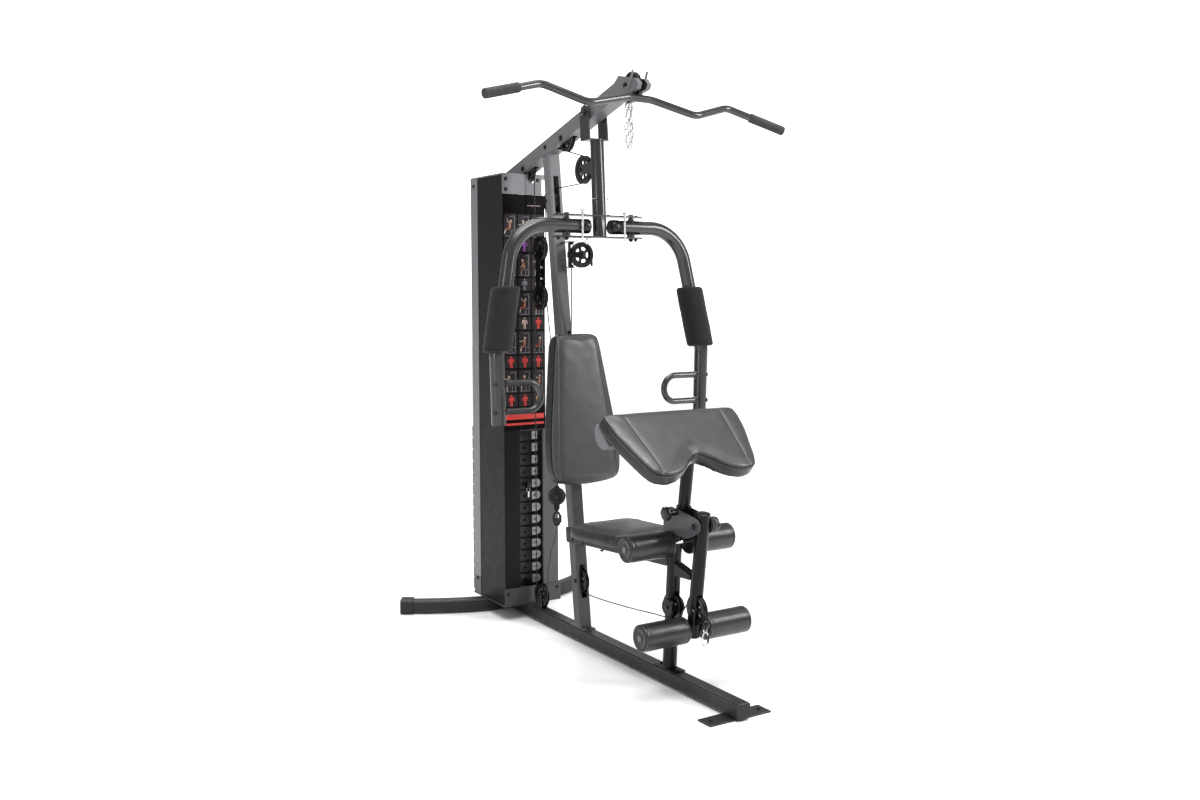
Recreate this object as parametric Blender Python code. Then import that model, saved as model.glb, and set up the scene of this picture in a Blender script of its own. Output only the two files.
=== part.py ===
"""Multi station home gym: weight stack, press and fly arms, lat bar, leg developer, arm curl pad.

Metres, +Z up. The machine's front (foot plate) is towards -Y, its weight stack towards +Y, and
+X is the user's left hand side when seated. The origin is on the floor, at the middle of the
footprint. Every object is one closed solid; its name is the piece's name.
"""
import math

import bmesh
import bpy
from mathutils import Matrix, Vector

# ---- driving dimensions -------------------------------------------------------------------
GAP = 0.0003             # air between touching pieces
HALF_LENGTH = 0.851      # foot print, front and rear of the origin
BEAM = 0.050             # square tube of the main frame
WALL = 0.002             # tube wall
BEAM_Z = 0.0303          # height of the floor tubes' centre line
BEAM_TOP = BEAM_Z + BEAM / 2
FOOT_PLATE = (0.24, 0.065, 0.005)
STABILIZER_Y = 0.6735    # rear cross tube, at its middle
STABILIZER_HALF = 0.425  # half spread of the rear cross tube
STABILIZER_SWEEP = 0.1475  # how far its ends sweep back

UPRIGHT_FOOT_Y = 0.0954  # centre line of the leaning upright at floor level
UPRIGHT_LEAN = 0.1298    # run per unit height
BACK_PAD_TOP = (0.192, 1.152)  # y, z of the back pad's upper rear edge
BACK_PAD_LEAN = 0.151

BOOM_HALF = 0.027        # half width of the boom channel
BOOM_HEIGHT = 0.053
BOOM_SLOPE = math.atan(0.289)
BOOM_REAR = (0.700, 1.7193)   # y, z of the lower rear corner

STACK_Y = 0.685          # centre of the weight stack
STACK_FRONT = 0.560
STACK_REAR = 0.810
PLATE_HALF = 0.116       # half width of a weight plate
PLATE_PITCH = 0.0494
PLATE_GROOVE = 0.0024
PLATES_BELOW = 9         # plates that stay down
PLATES_LIFTED = 4        # plates between the pin and the top plate
STACK_BASE_Z = 0.066
GUIDE_X = 0.085
GUIDE_RADIUS = 0.0095
COLUMN_TOP = 1.770
COLUMN_FRONT = 0.495

PRESS_PIVOT = (0.027, 1.942)  # y, z
FLY_PIVOT_X = 0.135
FLY_PIVOT_Y = -0.012
ARM_Z = 1.5425
ARM_RADIUS = 0.025
HAND_LOOP_X = 0.2605     # centre line of the hand loop's inner end

PULLEY_RADIUS = 0.048
PRESS_RADIUS = 0.051      # the wheel behind the press post is a little larger
PULLEY_WIDTH = 0.017
GROOVE_DEPTH = 0.0072
WHEEL_SIDES = 16
CABLE_RADIUS = 0.0022
CABLE_SEAT = 0.0445      # radius of the cable's centre line round a pulley

DEV_PIVOT = (-0.632, 0.571)   # y, z of the leg developer's pivot
DEV_RADIUS = 0.0225
KNOB_Z = 0.600           # height of the knob that locks the curl pad's post
ROLLER_RADIUS = 0.044
ROLLER_HALF = (0.036, 0.210)  # inner and outer ends of a roller
ROLLER_UPPER = (-0.500, 0.492)
ROLLER_LOWER = (-0.588, 0.225)

LAT_Y = -0.265
LAT_Z = 1.955

# pulley centres, y and z, and radius
TIP_PULLEY = (-0.2205, 2.001)
MID_PULLEY = (0.212, 1.876)
REAR_PULLEY = (0.508, 1.791)
STACK_PULLEY = (0.6405, 1.745)
PRESS_PULLEY = (0.093, 1.752)
SLOT_PULLEY = (0.330, 1.655)
FLOAT_PULLEYS = ((0.419, 1.480), (0.419, 1.290))
BASE_PULLEY = (0.419, 0.106)
LOW_PULLEY = (0.117, 0.232)
POST_PULLEY = (-0.4755, 0.272)
DEV_PULLEY = (-0.6065, 0.292)

# ---- materials ----------------------------------------------------------------------------
MATERIALS = {
    "charcoal_steel": ((0.085, 0.085, 0.095), 0.42, 0.55),
    "black_steel": ((0.022, 0.022, 0.024), 0.40, 0.50),
    "shroud_black": ((0.012, 0.013, 0.018), 0.45, 0.20),
    "gunmetal": ((0.16, 0.16, 0.165), 0.28, 0.85),
    "chrome": ((0.75, 0.75, 0.77), 0.12, 1.00),
    "black_plastic": ((0.015, 0.015, 0.015), 0.45, 0.00),
    "rubber": ((0.030, 0.030, 0.030), 0.75, 0.00),
    "foam": ((0.020, 0.020, 0.021), 0.90, 0.00),
    "vinyl": ((0.035, 0.035, 0.036), 0.48, 0.00),
    "weight_vinyl": ((0.055, 0.055, 0.058), 0.60, 0.00),
    "cable_black": ((0.012, 0.012, 0.012), 0.35, 0.00),
    "placard": ((0.030, 0.022, 0.022), 0.35, 0.00),
}


def material(name):
    """The named Principled material, made once."""
    mat = bpy.data.materials.get(name)
    if mat is None:
        colour, roughness, metallic = MATERIALS[name]
        mat = bpy.data.materials.new(name)
        mat.use_nodes = True
        shader = mat.node_tree.nodes["Principled BSDF"]
        shader.inputs["Base Color"].default_value = (*colour, 1.0)
        shader.inputs["Roughness"].default_value = roughness
        shader.inputs["Metallic"].default_value = metallic
    return mat


# ---- mesh tools ---------------------------------------------------------------------------
def clear_scene():
    """Remove whatever the file holds."""
    for obj in list(bpy.data.objects):
        bpy.data.objects.remove(obj, do_unlink=True)


def mesh_object(name, verts, faces):
    """A new object whose faces point outwards."""
    mesh = bpy.data.meshes.new(name)
    mesh.from_pydata([tuple(v) for v in verts], [], faces)
    tidy = bmesh.new()
    tidy.from_mesh(mesh)
    bmesh.ops.recalc_face_normals(tidy, faces=tidy.faces)
    tidy.to_mesh(mesh)
    tidy.free()
    obj = bpy.data.objects.new(name, mesh)
    bpy.context.scene.collection.objects.link(obj)
    return obj


def skin(name, rings, closed=False):
    """Join equal rings of points; capped at both ends, or closed into a ring of rings."""
    count = len(rings[0])
    verts = [p for ring in rings for p in ring]
    faces = []
    spans = len(rings) if closed else len(rings) - 1
    for i in range(spans):
        a, b = i * count, (i + 1) % len(rings) * count
        for j in range(count):
            k = (j + 1) % count
            faces.append((a + j, a + k, b + k, b + j))
    if not closed:
        faces.append(tuple(range(count)))
        faces.append(tuple(range(len(verts) - count, len(verts))))
    return mesh_object(name, verts, faces)


def circle(radius, sides):
    """Points of a circle in the section plane."""
    step = 2 * math.pi / sides
    return [(radius * math.cos((i + 0.5) * step), radius * math.sin((i + 0.5) * step))
            for i in range(sides)]


def rounded_box(width, height, radius, steps=1):
    """Points of a rectangle with round corners in the section plane."""
    points = []
    for sx, sy, start in ((1, 1, 0), (-1, 1, 90), (-1, -1, 180), (1, -1, 270)):
        cx, cy = sx * (width / 2 - radius), sy * (height / 2 - radius)
        for i in range(steps + 1):
            angle = math.radians(start + 90 * i / steps)
            points.append((cx + radius * math.cos(angle), cy + radius * math.sin(angle)))
    return points


def place(section, origin, across, along):
    """Put a section's points in space, `across` and `along` being its two axes."""
    return [origin + across * u + along * v for u, v in section]


def sweep(name, path, section, normal, bore=None):
    """Carry a section along a path in one plane; `bore` makes it a tube open at both ends."""
    path = [Vector(p) for p in path]
    normal = Vector(normal).normalized()
    outer, inner = [], []
    for i, point in enumerate(path):
        ahead = path[min(i + 1, len(path) - 1)] - point
        behind = point - path[max(i - 1, 0)]
        if i == 0:
            behind = ahead
        if i == len(path) - 1:
            ahead = behind
        tangent = (ahead.normalized() + behind.normalized()).normalized()
        stretch = 1.0 / max(tangent.dot(behind.normalized()), 0.5)
        side = tangent.cross(normal).normalized()
        across = side.cross(tangent).normalized()
        outer.append(place(section, point, across, side * stretch))
        if bore:
            inner.append(place(bore, point, across, side * stretch))
    if not bore:
        return skin(name, outer)
    return skin(name, outer + inner[::-1], closed=True)


def bend(points, radii, steps=5):
    """A path through the points, each inner corner rounded to its radius."""
    points = [Vector(p) for p in points]
    path = [points[0]]
    for i, radius in enumerate(radii, start=1):
        before = (points[i - 1] - points[i]).normalized()
        after = (points[i + 1] - points[i]).normalized()
        half = before.angle(after) / 2
        reach = radius / math.tan(half)
        centre = points[i] + (before + after).normalized() * radius / math.sin(half)
        start = points[i] + before * reach - centre
        stop = points[i] + after * reach - centre
        turn = start.angle(stop)
        axis = start.cross(stop).normalized()
        for k in range(steps + 1):
            path.append(centre + Matrix.Rotation(turn * k / steps, 3, axis) @ start)
    path.append(points[-1])
    return path


def turned(name, profile, centre, axis, sides=16, bored=False):
    """Turn (distance along, radius) points about an axis; `bored` closes it round its bore."""
    axis = Vector(axis).normalized()
    centre = Vector(centre)
    across = axis.orthogonal().normalized()
    if abs(axis.z) < 0.9:
        across = Vector((0, 0, 1)).cross(axis).normalized()
    along = axis.cross(across)
    rings = [place(circle(r, sides), centre + axis * h, across, along) for h, r in profile]
    return skin(name, rings, closed=bored)


def box(name, low, high):
    """A plain block between two corners."""
    (x0, y0, z0), (x1, y1, z1) = low, high
    ring = [(x0, y0), (x1, y0), (x1, y1), (x0, y1)]
    return skin(name, [[Vector((x, y, z)) for x, y in ring] for z in (z0, z1)])


def prism(name, outline, x0, x1):
    """A (y, z) outline drawn out along X."""
    return skin(name, [[Vector((x, y, z)) for y, z in outline] for x in (x0, x1)])


def boolean(obj, other, operation):
    """Add or cut away another solid, which is used up."""
    step = obj.modifiers.new(operation.lower(), "BOOLEAN")
    step.operation = operation
    step.solver = "EXACT"
    step.object = other
    graph = bpy.context.evaluated_depsgraph_get()
    mesh = bpy.data.meshes.new_from_object(obj.evaluated_get(graph))
    obj.modifiers.clear()
    obj.data = mesh
    bpy.data.objects.remove(other, do_unlink=True)
    return obj


def weld(obj, *others):
    """Join solids into one body."""
    for other in others:
        boolean(obj, other, "UNION")
    return obj


def cut(obj, *others):
    """Take solids away."""
    for other in others:
        boolean(obj, other, "DIFFERENCE")
    return obj


def finish(obj, slot, name=None):
    """Give the piece its name, material and smooth round faces."""
    if name:
        obj.name = name
    obj.data.name = obj.name
    obj.data.materials.clear()
    obj.data.materials.append(material(slot))
    obj.data.shade_smooth()
    obj.data.set_sharp_from_angle(angle=math.radians(35))
    return obj


def cross_hole(name, y, z, radius, half=0.06, sides=12):
    """A round cutter along X."""
    return turned(name, [(-half, radius), (half, radius)], (0, y, z), (1, 0, 0), sides)


# ---- derived places -----------------------------------------------------------------------
def upright_y(z, offset=0.0):
    """Y of the upright's centre line, or of a line `offset` in front of it."""
    return UPRIGHT_FOOT_Y + UPRIGHT_LEAN * z - offset


UPRIGHT_FACE = BEAM / 2 * math.hypot(1, UPRIGHT_LEAN)   # centre line to front face, along Y


def boom_bottom(y):
    """Height of the boom channel's lower edge."""
    return BOOM_REAR[1] + math.tan(BOOM_SLOPE) * (BOOM_REAR[0] - y)


# ---- floor frame --------------------------------------------------------------------------
def front_foot_plate():
    """Flat steel foot with two screw holes, under the front of the main beam."""
    width, depth, thick = FOOT_PLATE
    y0 = -0.837
    plate = box("front_foot_plate", (-width / 2, y0, 0), (width / 2, y0 + depth, thick))
    for x in (-0.095, 0.095):
        hole = turned("hole", [(-0.01, 0.0045), (0.02, 0.0045)], (x, y0 + depth / 2, 0), (0, 0, 1), 10)
        cut(plate, hole)
    finish(plate, "black_steel")


def main_beam():
    """Long square tube on the floor, with the base pulley's two ears welded on top."""
    tube = sweep("main_beam",
                 [(0, -0.8465, BEAM_Z), (0, STABILIZER_Y - BEAM / 2 - GAP, BEAM_Z)],
                 rounded_box(BEAM, BEAM, 0.005), (0, 0, 1),
                 rounded_box(BEAM - 2 * WALL, BEAM - 2 * WALL, 0.003))
    y, z = BASE_PULLEY
    for x in (-0.0135, 0.0105):
        ear = prism("ear", [(y - 0.020, BEAM_TOP - 0.001), (y + 0.020, BEAM_TOP - 0.001),
                            (y + 0.014, z + 0.012), (y - 0.014, z + 0.012)], x, x + 0.003)
        weld(tube, ear)
    cut(tube, cross_hole("hole", y, z, 0.0052))
    finish(tube, "charcoal_steel")


def beam_front_cap():
    """Square plastic plug in the beam's front end."""
    rings = []
    inner = BEAM - 2 * WALL - 2 * GAP
    for y, size, radius in ((-HALF_LENGTH, 0.047, 0.004), (-0.8490, BEAM, 0.005),
                            (-0.8468, BEAM, 0.005), (-0.8468, inner, 0.0028),
                            (-0.8250, inner, 0.0028)):
        rings.append(place(rounded_box(size, size, radius), Vector((0, y, BEAM_Z)),
                           Vector((1, 0, 0)), Vector((0, 0, 1))))
    finish(skin("beam_front_cap", rings), "black_plastic")


def stabilizer_path():
    """Centre line of the rear cross tube: straight in the middle, ends swept back."""
    stations = 5
    flat = 0.07
    half = [(flat + (STABILIZER_HALF - flat) * i / stations,
             STABILIZER_Y + STABILIZER_SWEEP * (i / stations) ** 1.5) for i in range(stations + 1)]
    right = [(x, y, BEAM_Z) for x, y in half]
    left = [(-x, y, BEAM_Z) for x, y in half]
    return left[::-1] + right


def rear_stabilizer():
    """Curved square tube across the rear."""
    tube = sweep("rear_stabilizer", stabilizer_path(), rounded_box(BEAM, BEAM, 0.005), (0, 0, 1),
                 rounded_box(BEAM - 2 * WALL, BEAM - 2 * WALL, 0.003))
    finish(tube, "charcoal_steel")


def stabilizer_cap(side):
    """Plastic cup over one end of the rear cross tube; it is also a foot."""
    path = [Vector(p) for p in stabilizer_path()]
    end, before = (path[-1], path[-2]) if side > 0 else (path[0], path[1])
    out = (end - before).normalized()
    across = Vector((0, 0, 1)).cross(out)
    pocket = BEAM + 2 * GAP
    outer = 2 * BEAM_Z
    rings = []
    for h, size, radius in ((GAP, pocket, 0.005), (-0.040, pocket, 0.005), (-0.040, outer, 0.007),
                            (0.008, outer, 0.007), (0.011, outer - 0.006, 0.006)):
        rings.append(place(rounded_box(size, size, radius), end + out * h, across, Vector((0, 0, 1))))
    name = "stabilizer_cap_right" if side > 0 else "stabilizer_cap_left"
    finish(skin(name, rings), "black_plastic")


# ---- weight column ------------------------------------------------------------------------
def stack_frame():
    """Welded column frame: base tray, two rear bars, top plate and front top plate."""
    z0, z1 = BEAM_TOP + GAP, BEAM_TOP + GAP + 0.005
    y0, y1 = 0.492, 0.775
    frame = box("stack_frame", (-0.128, y0, z0), (0.128, y1, z1))
    weld(frame, box("apron", (-0.128, y0, z0), (0.128, y0 + 0.003, 0.128)))
    for x in (-0.1265, 0.1215):
        weld(frame, box("bar", (x, 0.712, z0 + 0.001), (x + 0.005, 0.772, COLUMN_TOP)))
    weld(frame, box("top", (-0.1265, y0, COLUMN_TOP - 0.005), (0.1265, 0.772, COLUMN_TOP)))
    weld(frame, box("front", (-0.1265, y0, 1.690), (0.048, y0 + 0.003, COLUMN_TOP)))
    cut(frame, box("slot", (-0.0125, 0.480, 1.736), (0.0125, 0.698, 1.800)))
    y, z = STACK_PULLEY
    for x in (-0.0160, 0.0130):
        weld(frame, box("ear", (x, y - 0.015, z - 0.014), (x + 0.003, y + 0.015, COLUMN_TOP - 0.002)))
    finish(cut(frame, cross_hole("hole", y, z, 0.0052)), "charcoal_steel")


def guide_rod(side):
    """Polished rod that the plates slide on."""
    low, high = BEAM_TOP + 0.005 + 2 * GAP, COLUMN_TOP - 0.005 - GAP
    rod = turned("guide_rod_right" if side > 0 else "guide_rod_left",
                 [(low, GUIDE_RADIUS), (high, GUIDE_RADIUS)], (side * GUIDE_X, STACK_Y, 0),
                 (0, 0, 1), 12)
    finish(rod, "chrome")


def shroud_left():
    """Full height folded cover: side wall and front flange."""
    x0, y0, t = -0.1250, COLUMN_FRONT + GAP, 0.0015
    low, high = 0.0612, COLUMN_TOP - 0.0053
    outline = [(x0, y0), (-0.055, y0), (-0.055, y0 + 0.010), (-0.055 - t, y0 + 0.010),
               (-0.055 - t, y0 + t), (x0 + t, y0 + t), (x0 + t, 0.7115), (x0, 0.7115)]
    cover = skin("shroud_left", [[Vector((x, y, z)) for x, y in outline] for z in (low, high)])
    finish(cover, "shroud_black")


def shroud_right():
    """Lower folded cover on the other side of the stack."""
    x1, y0, t = 0.1195, COLUMN_FRONT + GAP, 0.0015
    low, high = 0.0612, 0.800
    outline = [(x1, y0), (0.050, y0), (0.050, y0 + 0.010), (0.050 + t, y0 + 0.010),
               (0.050 + t, y0 + t), (x1 - t, y0 + t), (x1 - t, 0.7115), (x1, 0.7115)]
    cover = skin("shroud_right", [[Vector((x, y, z)) for x, y in outline] for z in (low, high)])
    finish(cover, "shroud_black")


def exercise_placard():
    """Chart board on the front of the column."""
    y1 = COLUMN_FRONT - GAP
    board = box("exercise_placard", (-0.1235, y1 - 0.0025, 0.765), (0.060, y1, 1.6895))
    finish(board, "placard")


def rod_bores(low, high):
    """Cutters for the two guide rods."""
    return [turned("bore", [(low, 0.0112), (high, 0.0112)], (x, STACK_Y, 0), (0, 0, 1), 12)
            for x in (-GUIDE_X, GUIDE_X)]


def plate_block(name, bottom, count):
    """A pile of plates, with a groove at each joint and bores for the rods and selector rod."""
    width, depth = 2 * PLATE_HALF, STACK_REAR - STACK_FRONT
    centre_y = (STACK_REAR + STACK_FRONT) / 2
    rings = []
    for i in range(count):
        z0 = bottom + i * PLATE_PITCH
        z1 = z0 + PLATE_PITCH - PLATE_GROOVE
        sizes = [(z0, 0.0), (z1, 0.0)]
        if i < count - 1:
            sizes += [(z1, 0.003), (z0 + PLATE_PITCH, 0.003)]
        for z, inset in sizes:
            section = rounded_box(width - 2 * inset, depth - 2 * inset, 0.010, 1)
            rings.append(place(section, Vector((0, centre_y, z)), Vector((1, 0, 0)), Vector((0, 1, 0))))
    block = skin(name, rings)
    top = bottom + count * PLATE_PITCH + 0.01
    cut(block, *rod_bores(bottom - 0.01, top))
    cut(block, turned("bore", [(bottom - 0.01, 0.0135), (top, 0.0135)], (0, STACK_Y, 0), (0, 0, 1), 12))
    return block


LIFTED_Z = STACK_BASE_Z + PLATES_BELOW * PLATE_PITCH
TOP_PLATE_Z = LIFTED_Z + PLATES_LIFTED * PLATE_PITCH
PIN_Z = LIFTED_Z + (PLATE_PITCH - PLATE_GROOVE) / 2
PIN_RADIUS = 0.0047


def resting_weights():
    """The plates under the pin."""
    finish(plate_block("resting_weights", STACK_BASE_Z, PLATES_BELOW), "weight_vinyl")


def lifted_weights():
    """The plates that rise with the pin, the lowest with the pin's hole."""
    block = plate_block("lifted_weights", LIFTED_Z, PLATES_LIFTED)
    hole = turned("hole", [(STACK_FRONT - 0.01, 0.0055), (STACK_Y, 0.0055)], (0, 0, PIN_Z), (0, 1, 0), 10)
    finish(cut(block, hole), "weight_vinyl")


def top_weight():
    """Top plate with its stem, and the selector rod that hangs down through the stack."""
    width, depth = 2 * PLATE_HALF, STACK_REAR - STACK_FRONT
    high = TOP_PLATE_Z + PLATE_PITCH - PLATE_GROOVE
    section = rounded_box(width, depth, 0.010, 1)
    rings = [place(section, Vector((0, STACK_Y, z)), Vector((1, 0, 0)), Vector((0, 1, 0)))
             for z in (TOP_PLATE_Z, high)]
    plate = cut(skin("top_weight", rings), *rod_bores(TOP_PLATE_Z - 0.01, high + 0.01))
    rod = turned("rod", [(0.0750, 0.010), (0.0800, 0.012), (high + 0.022, 0.012), (high + 0.030, 0.008),
                         (high + 0.052, 0.008)], (0, STACK_Y, 0), (0, 0, 1), 12)
    weld(plate, rod)
    hole = turned("hole", [(STACK_Y - 0.03, 0.0055), (STACK_Y + 0.03, 0.0055)], (0, 0, PIN_Z), (0, 1, 0), 10)
    finish(cut(plate, hole), "weight_vinyl")
    return high + 0.052


def selector_pin():
    """Pin that picks the load, with its knob."""
    profile = [(0.518, 0.008), (0.522, 0.0125), (0.538, 0.0125), (0.542, 0.007), (0.548, PIN_RADIUS),
               (0.694, PIN_RADIUS), (0.6975, 0.003)]
    finish(turned("selector_pin", profile, (0, 0, PIN_Z), (0, 1, 0), 10), "chrome")


# ---- upright and boom ---------------------------------------------------------------------
def slot_cutter(y, z, half_height, depth=0.08, half_width=0.0115):
    """Cutter for a pulley slot right through a tube."""
    return box("slot", (-half_width, y - depth, z - half_height), (half_width, y + depth, z + half_height))


def front_upright():
    """Leaning square tube with two pulley slots, a foot and the swivel pulley's two ears."""
    z0, z1 = 0.030, 1.860
    tube = sweep("front_upright", [(0, upright_y(z0), z0), (0, upright_y(z1), z1)],
                 rounded_box(BEAM, BEAM, 0.005), (1, 0, 0),
                 rounded_box(BEAM - 2 * WALL, BEAM - 2 * WALL, 0.003))
    floor = BEAM_TOP + GAP
    cut(tube, box("below", (-0.1, -0.2, -0.1), (0.1, 0.4, floor)))
    y = 0.33
    roof = [(y - 0.3, boom_bottom(y - 0.3) - 0.001), (y + 0.3, boom_bottom(y + 0.3) - 0.001),
            (y + 0.3, 2.3), (y - 0.3, 2.3)]
    cut(tube, prism("above", roof, -0.1, 0.1))
    foot_y = upright_y(floor)
    foot = box("foot", (-0.0245, foot_y - 0.052, floor), (0.0245, foot_y + 0.052, floor + 0.004))
    cut(foot, box("inside", (-0.020, foot_y - 0.020, 0), (0.020, foot_y + 0.020, 0.1)))
    weld(tube, foot)
    cut(tube, slot_cutter(SLOT_PULLEY[0], SLOT_PULLEY[1] + 0.020, 0.072))
    cut(tube, slot_cutter(LOW_PULLEY[0], LOW_PULLEY[1], 0.062))
    for py, pz in (SLOT_PULLEY, LOW_PULLEY):
        cut(tube, cross_hole("hole", py, pz, 0.0052))
    sx, sy = SWIVEL
    for z in (SWIVEL_Z - LUG - 0.004, SWIVEL_Z + LUG):
        lug = box("lug", (sx - 0.011, sy - 0.011, z), (sx + 0.011, upright_y(z) - 0.015, z + 0.004))
        weld(tube, lug)
        cut(tube, turned("hole", [(z - 0.01, 0.0042), (z + 0.01, 0.0042)], (sx, sy, 0), (0, 0, 1), 10))
    front, rear = upright_y(1.135, UPRIGHT_FACE), upright_y(1.080, -UPRIGHT_FACE)
    cut(tube, box("entry", (SWIVEL[0] - 0.006, front - 0.020, 1.105),
                  (SWIVEL[0] + 0.006, front + 0.012, 1.165)))
    cut(tube, box("exit", (SWIVEL[0] - 0.006, rear - 0.010, 1.040), (SWIVEL[0] + 0.006, rear + 0.020, 1.110)))
    finish(tube, "charcoal_steel")


def inset(outline, depth):
    """An outline moved inwards by a wall thickness; its points run anticlockwise."""
    count = len(outline)
    moved = []
    for i, point in enumerate(outline):
        corner = Vector(point)
        into = (corner - Vector(outline[i - 1])).normalized()
        away = (Vector(outline[(i + 1) % count]) - corner).normalized()
        bisector = (into + away).normalized()
        normal = Vector((-bisector.y, bisector.x))
        moved.append(tuple(corner + normal * depth / max(bisector.dot(into), 0.4)))
    return moved


def boom():
    """Square tube from the column over the upright to the bracket at its tip, slotted for the wheels."""
    rear_y, rear_z = BOOM_REAR
    low = COLUMN_TOP + GAP
    rise = BOOM_HEIGHT / math.cos(BOOM_SLOPE)
    outline = [(rear_y, low), (rear_y, low + 0.006), (0.680, boom_bottom(0.680) + rise),
               (-0.150, boom_bottom(-0.150) + rise), (-0.176, 2.041), (-0.278, 2.018), (-0.298, 1.999),
               (-0.288, 1.982), (-0.247, 1.976), (-0.228, 1.953), (-0.178, 1.953),
               (-0.150, boom_bottom(-0.150)), (rear_y - (low - rear_z) / math.tan(BOOM_SLOPE), low)]
    body = prism("boom", outline, -BOOM_HALF, BOOM_HALF)
    inside = BOOM_HALF - 0.0025
    cut(body, prism("hollow", inset(outline, 0.0025), -inside, inside))
    weld_bar_rest(body)
    slot = 0.0110
    cut(body, box("tip slot", (-slot, -0.34, 1.90), (slot, -0.170, 2.10)))
    middle_roof = [(-0.171, 1.985), (0.285, 1.875), (0.285, 2.10), (-0.171, 2.10)]
    cut(body, prism("roof slot", middle_roof, -slot, slot))
    cut(body, box("middle slot", (-slot, 0.148, 1.78), (slot, 0.276, 1.888)))
    cut(body, box("rear slot", (-slot, 0.440, 1.70), (slot, 0.696, 1.90)))
    for y, z in (TIP_PULLEY, MID_PULLEY, REAR_PULLEY):
        cut(body, cross_hole("hole", y, z, 0.0052))
    cut(body, cross_hole("hole", *PRESS_PIVOT, 0.0086))
    finish(body, "charcoal_steel")


def weld_bar_rest(body):
    """The two bent rods at the boom's tip that the bar is laid on when not in use."""
    for side in (-1, 1):
        x = side * (BOOM_HALF + 0.002)
        path = bend([(x, -0.222, 1.994), (x, -0.2465, 1.992), (x, -0.2685, 2.0445)], [0.010], 3)
        rod = sweep("rest", path, circle(0.0042, 8), (1, 0, 0))
        weld(body, rod)


# ---- pulleys ------------------------------------------------------------------------------
def pulley_profile(radius=PULLEY_RADIUS, width=PULLEY_WIDTH, bore=0.0058):
    """Grooved wheel with a hub, as (along, radius) round its bore."""
    h = width / 2
    groove = radius - GROOVE_DEPTH
    return [(-h, bore), (-h, radius), (-0.0028, groove), (0.0028, groove), (h, radius), (h, bore)]


def pulley(name, centre, axis=(1, 0, 0), radius=PULLEY_RADIUS):
    """One grooved wheel."""
    if len(centre) == 2:
        centre = (0, *centre)
    finish(turned(name, pulley_profile(radius), centre, axis, WHEEL_SIDES, bored=True),
           "black_plastic")


# ---- press and fly arms -------------------------------------------------------------------
POST_TOP = (0.004, 1.849)
POST_END = (-0.016, 1.5075)
CARRIER_HALF = 0.178


def press_frame():
    """Yoke over the boom, round post, and the two plates that carry the arms."""
    py, pz = PRESS_PIVOT
    half = 0.029
    outline = [(py - half, pz), (py - 0.0205, pz + 0.0205), (py, pz + half), (py + 0.0205, pz + 0.0205),
               (py + half, pz), (py + half - 0.006, 1.846), (py - half - 0.010, 1.846)]
    frame = prism("press_frame", outline, -0.040, -0.035)
    weld(frame, prism("cheek", outline, 0.035, 0.040))
    weld(frame, box("bridge", (-0.040, py - half - 0.010, 1.846), (0.040, py + half - 0.006, 1.8515)))
    post = sweep("post", [(0, *POST_TOP), (0, *POST_END)], circle(ARM_RADIUS, 12), (1, 0, 0))
    weld(frame, post)
    for z, depth in ((1.578, 0.030), (1.503, 0.034)):
        section = rounded_box(2 * CARRIER_HALF, 2 * depth, 0.022, 3)
        rings = [place(section, Vector((0, FLY_PIVOT_Y + 0.006, h)), Vector((1, 0, 0)), Vector((0, 1, 0)))
                 for h in (z, z + 0.005)]
        weld(frame, skin("carrier", rings))
    for side in (-1, 1):
        weld(frame, turned("bolt", [(-0.006, 0.010), (0.0, 0.010), (0.0, 0.006), (0.0065, 0.006),
                                    (0.0065, 0.0095), (0.0125, 0.0095)],
                           (side * FLY_PIVOT_X, FLY_PIVOT_Y, 1.5765), (0, 0, 1), 8))
        hole = turned("hole", [(1.49, 0.0048), (1.60, 0.0048)], (side * PIN_X, PIN_Y, 0), (0, 0, 1), 10)
        cut(frame, hole)
    for x in (-0.0155, 0.0125):
        bracket = prism("bracket", [(0.010, 1.728), (0.010, 1.776), (0.100, 1.766), (0.100, 1.738)], x,
                        x + 0.003)
        weld(frame, bracket)
    cut(frame, cross_hole("hole", *PRESS_PULLEY, 0.0052))
    weld(frame, turned("pivot", [(-0.052, 0.006), (-0.049, 0.011), (-0.038, 0.011), (-0.038, 0.008),
                                 (0.038, 0.008),
                                 (0.038, 0.011), (0.049, 0.011), (0.052, 0.006)], (0, py, pz), (1, 0, 0), 12))
    finish(frame, "gunmetal")


PIN_X = 0.088
PIN_Y = FLY_PIVOT_Y - 0.0315


def arm_path(side):
    """Centre line of one arm: out from the carrier, a wide bend, down, and a slight kink."""
    points = [(side * 0.046, FLY_PIVOT_Y, ARM_Z), (side * 0.343, FLY_PIVOT_Y, ARM_Z),
              (side * 0.430, FLY_PIVOT_Y - 0.036, 1.100), (side * 0.424, FLY_PIVOT_Y - 0.036, 0.862)]
    return bend(points, [0.15, 0.08], 4)


def arm(side):
    """One bent tube with its welded hand loop and pivot bush."""
    name = "arm_right" if side > 0 else "arm_left"
    path = arm_path(side)
    tube = free_sweep(name, path, ARM_RADIUS, 12, wall=0.0025)
    x = side * 0.412
    y = FLY_PIVOT_Y - 0.036
    inner = side * HAND_LOOP_X
    loop = bend([(x, y, 1.002), (inner, y, 1.002), (inner, y, 0.905), (x, y, 0.905)], [0.0484, 0.0484], 4)
    weld(tube, sweep("loop", loop, circle(0.0115, 8), (0, 1, 0)))
    bush = turned("bush", [(1.5090, 0.011), (1.5765 - 0.0065, 0.011)], (side * FLY_PIVOT_X, FLY_PIVOT_Y, 0),
                  (0, 0, 1), 12)
    weld(tube, bush)
    finish(tube, "gunmetal")


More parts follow.
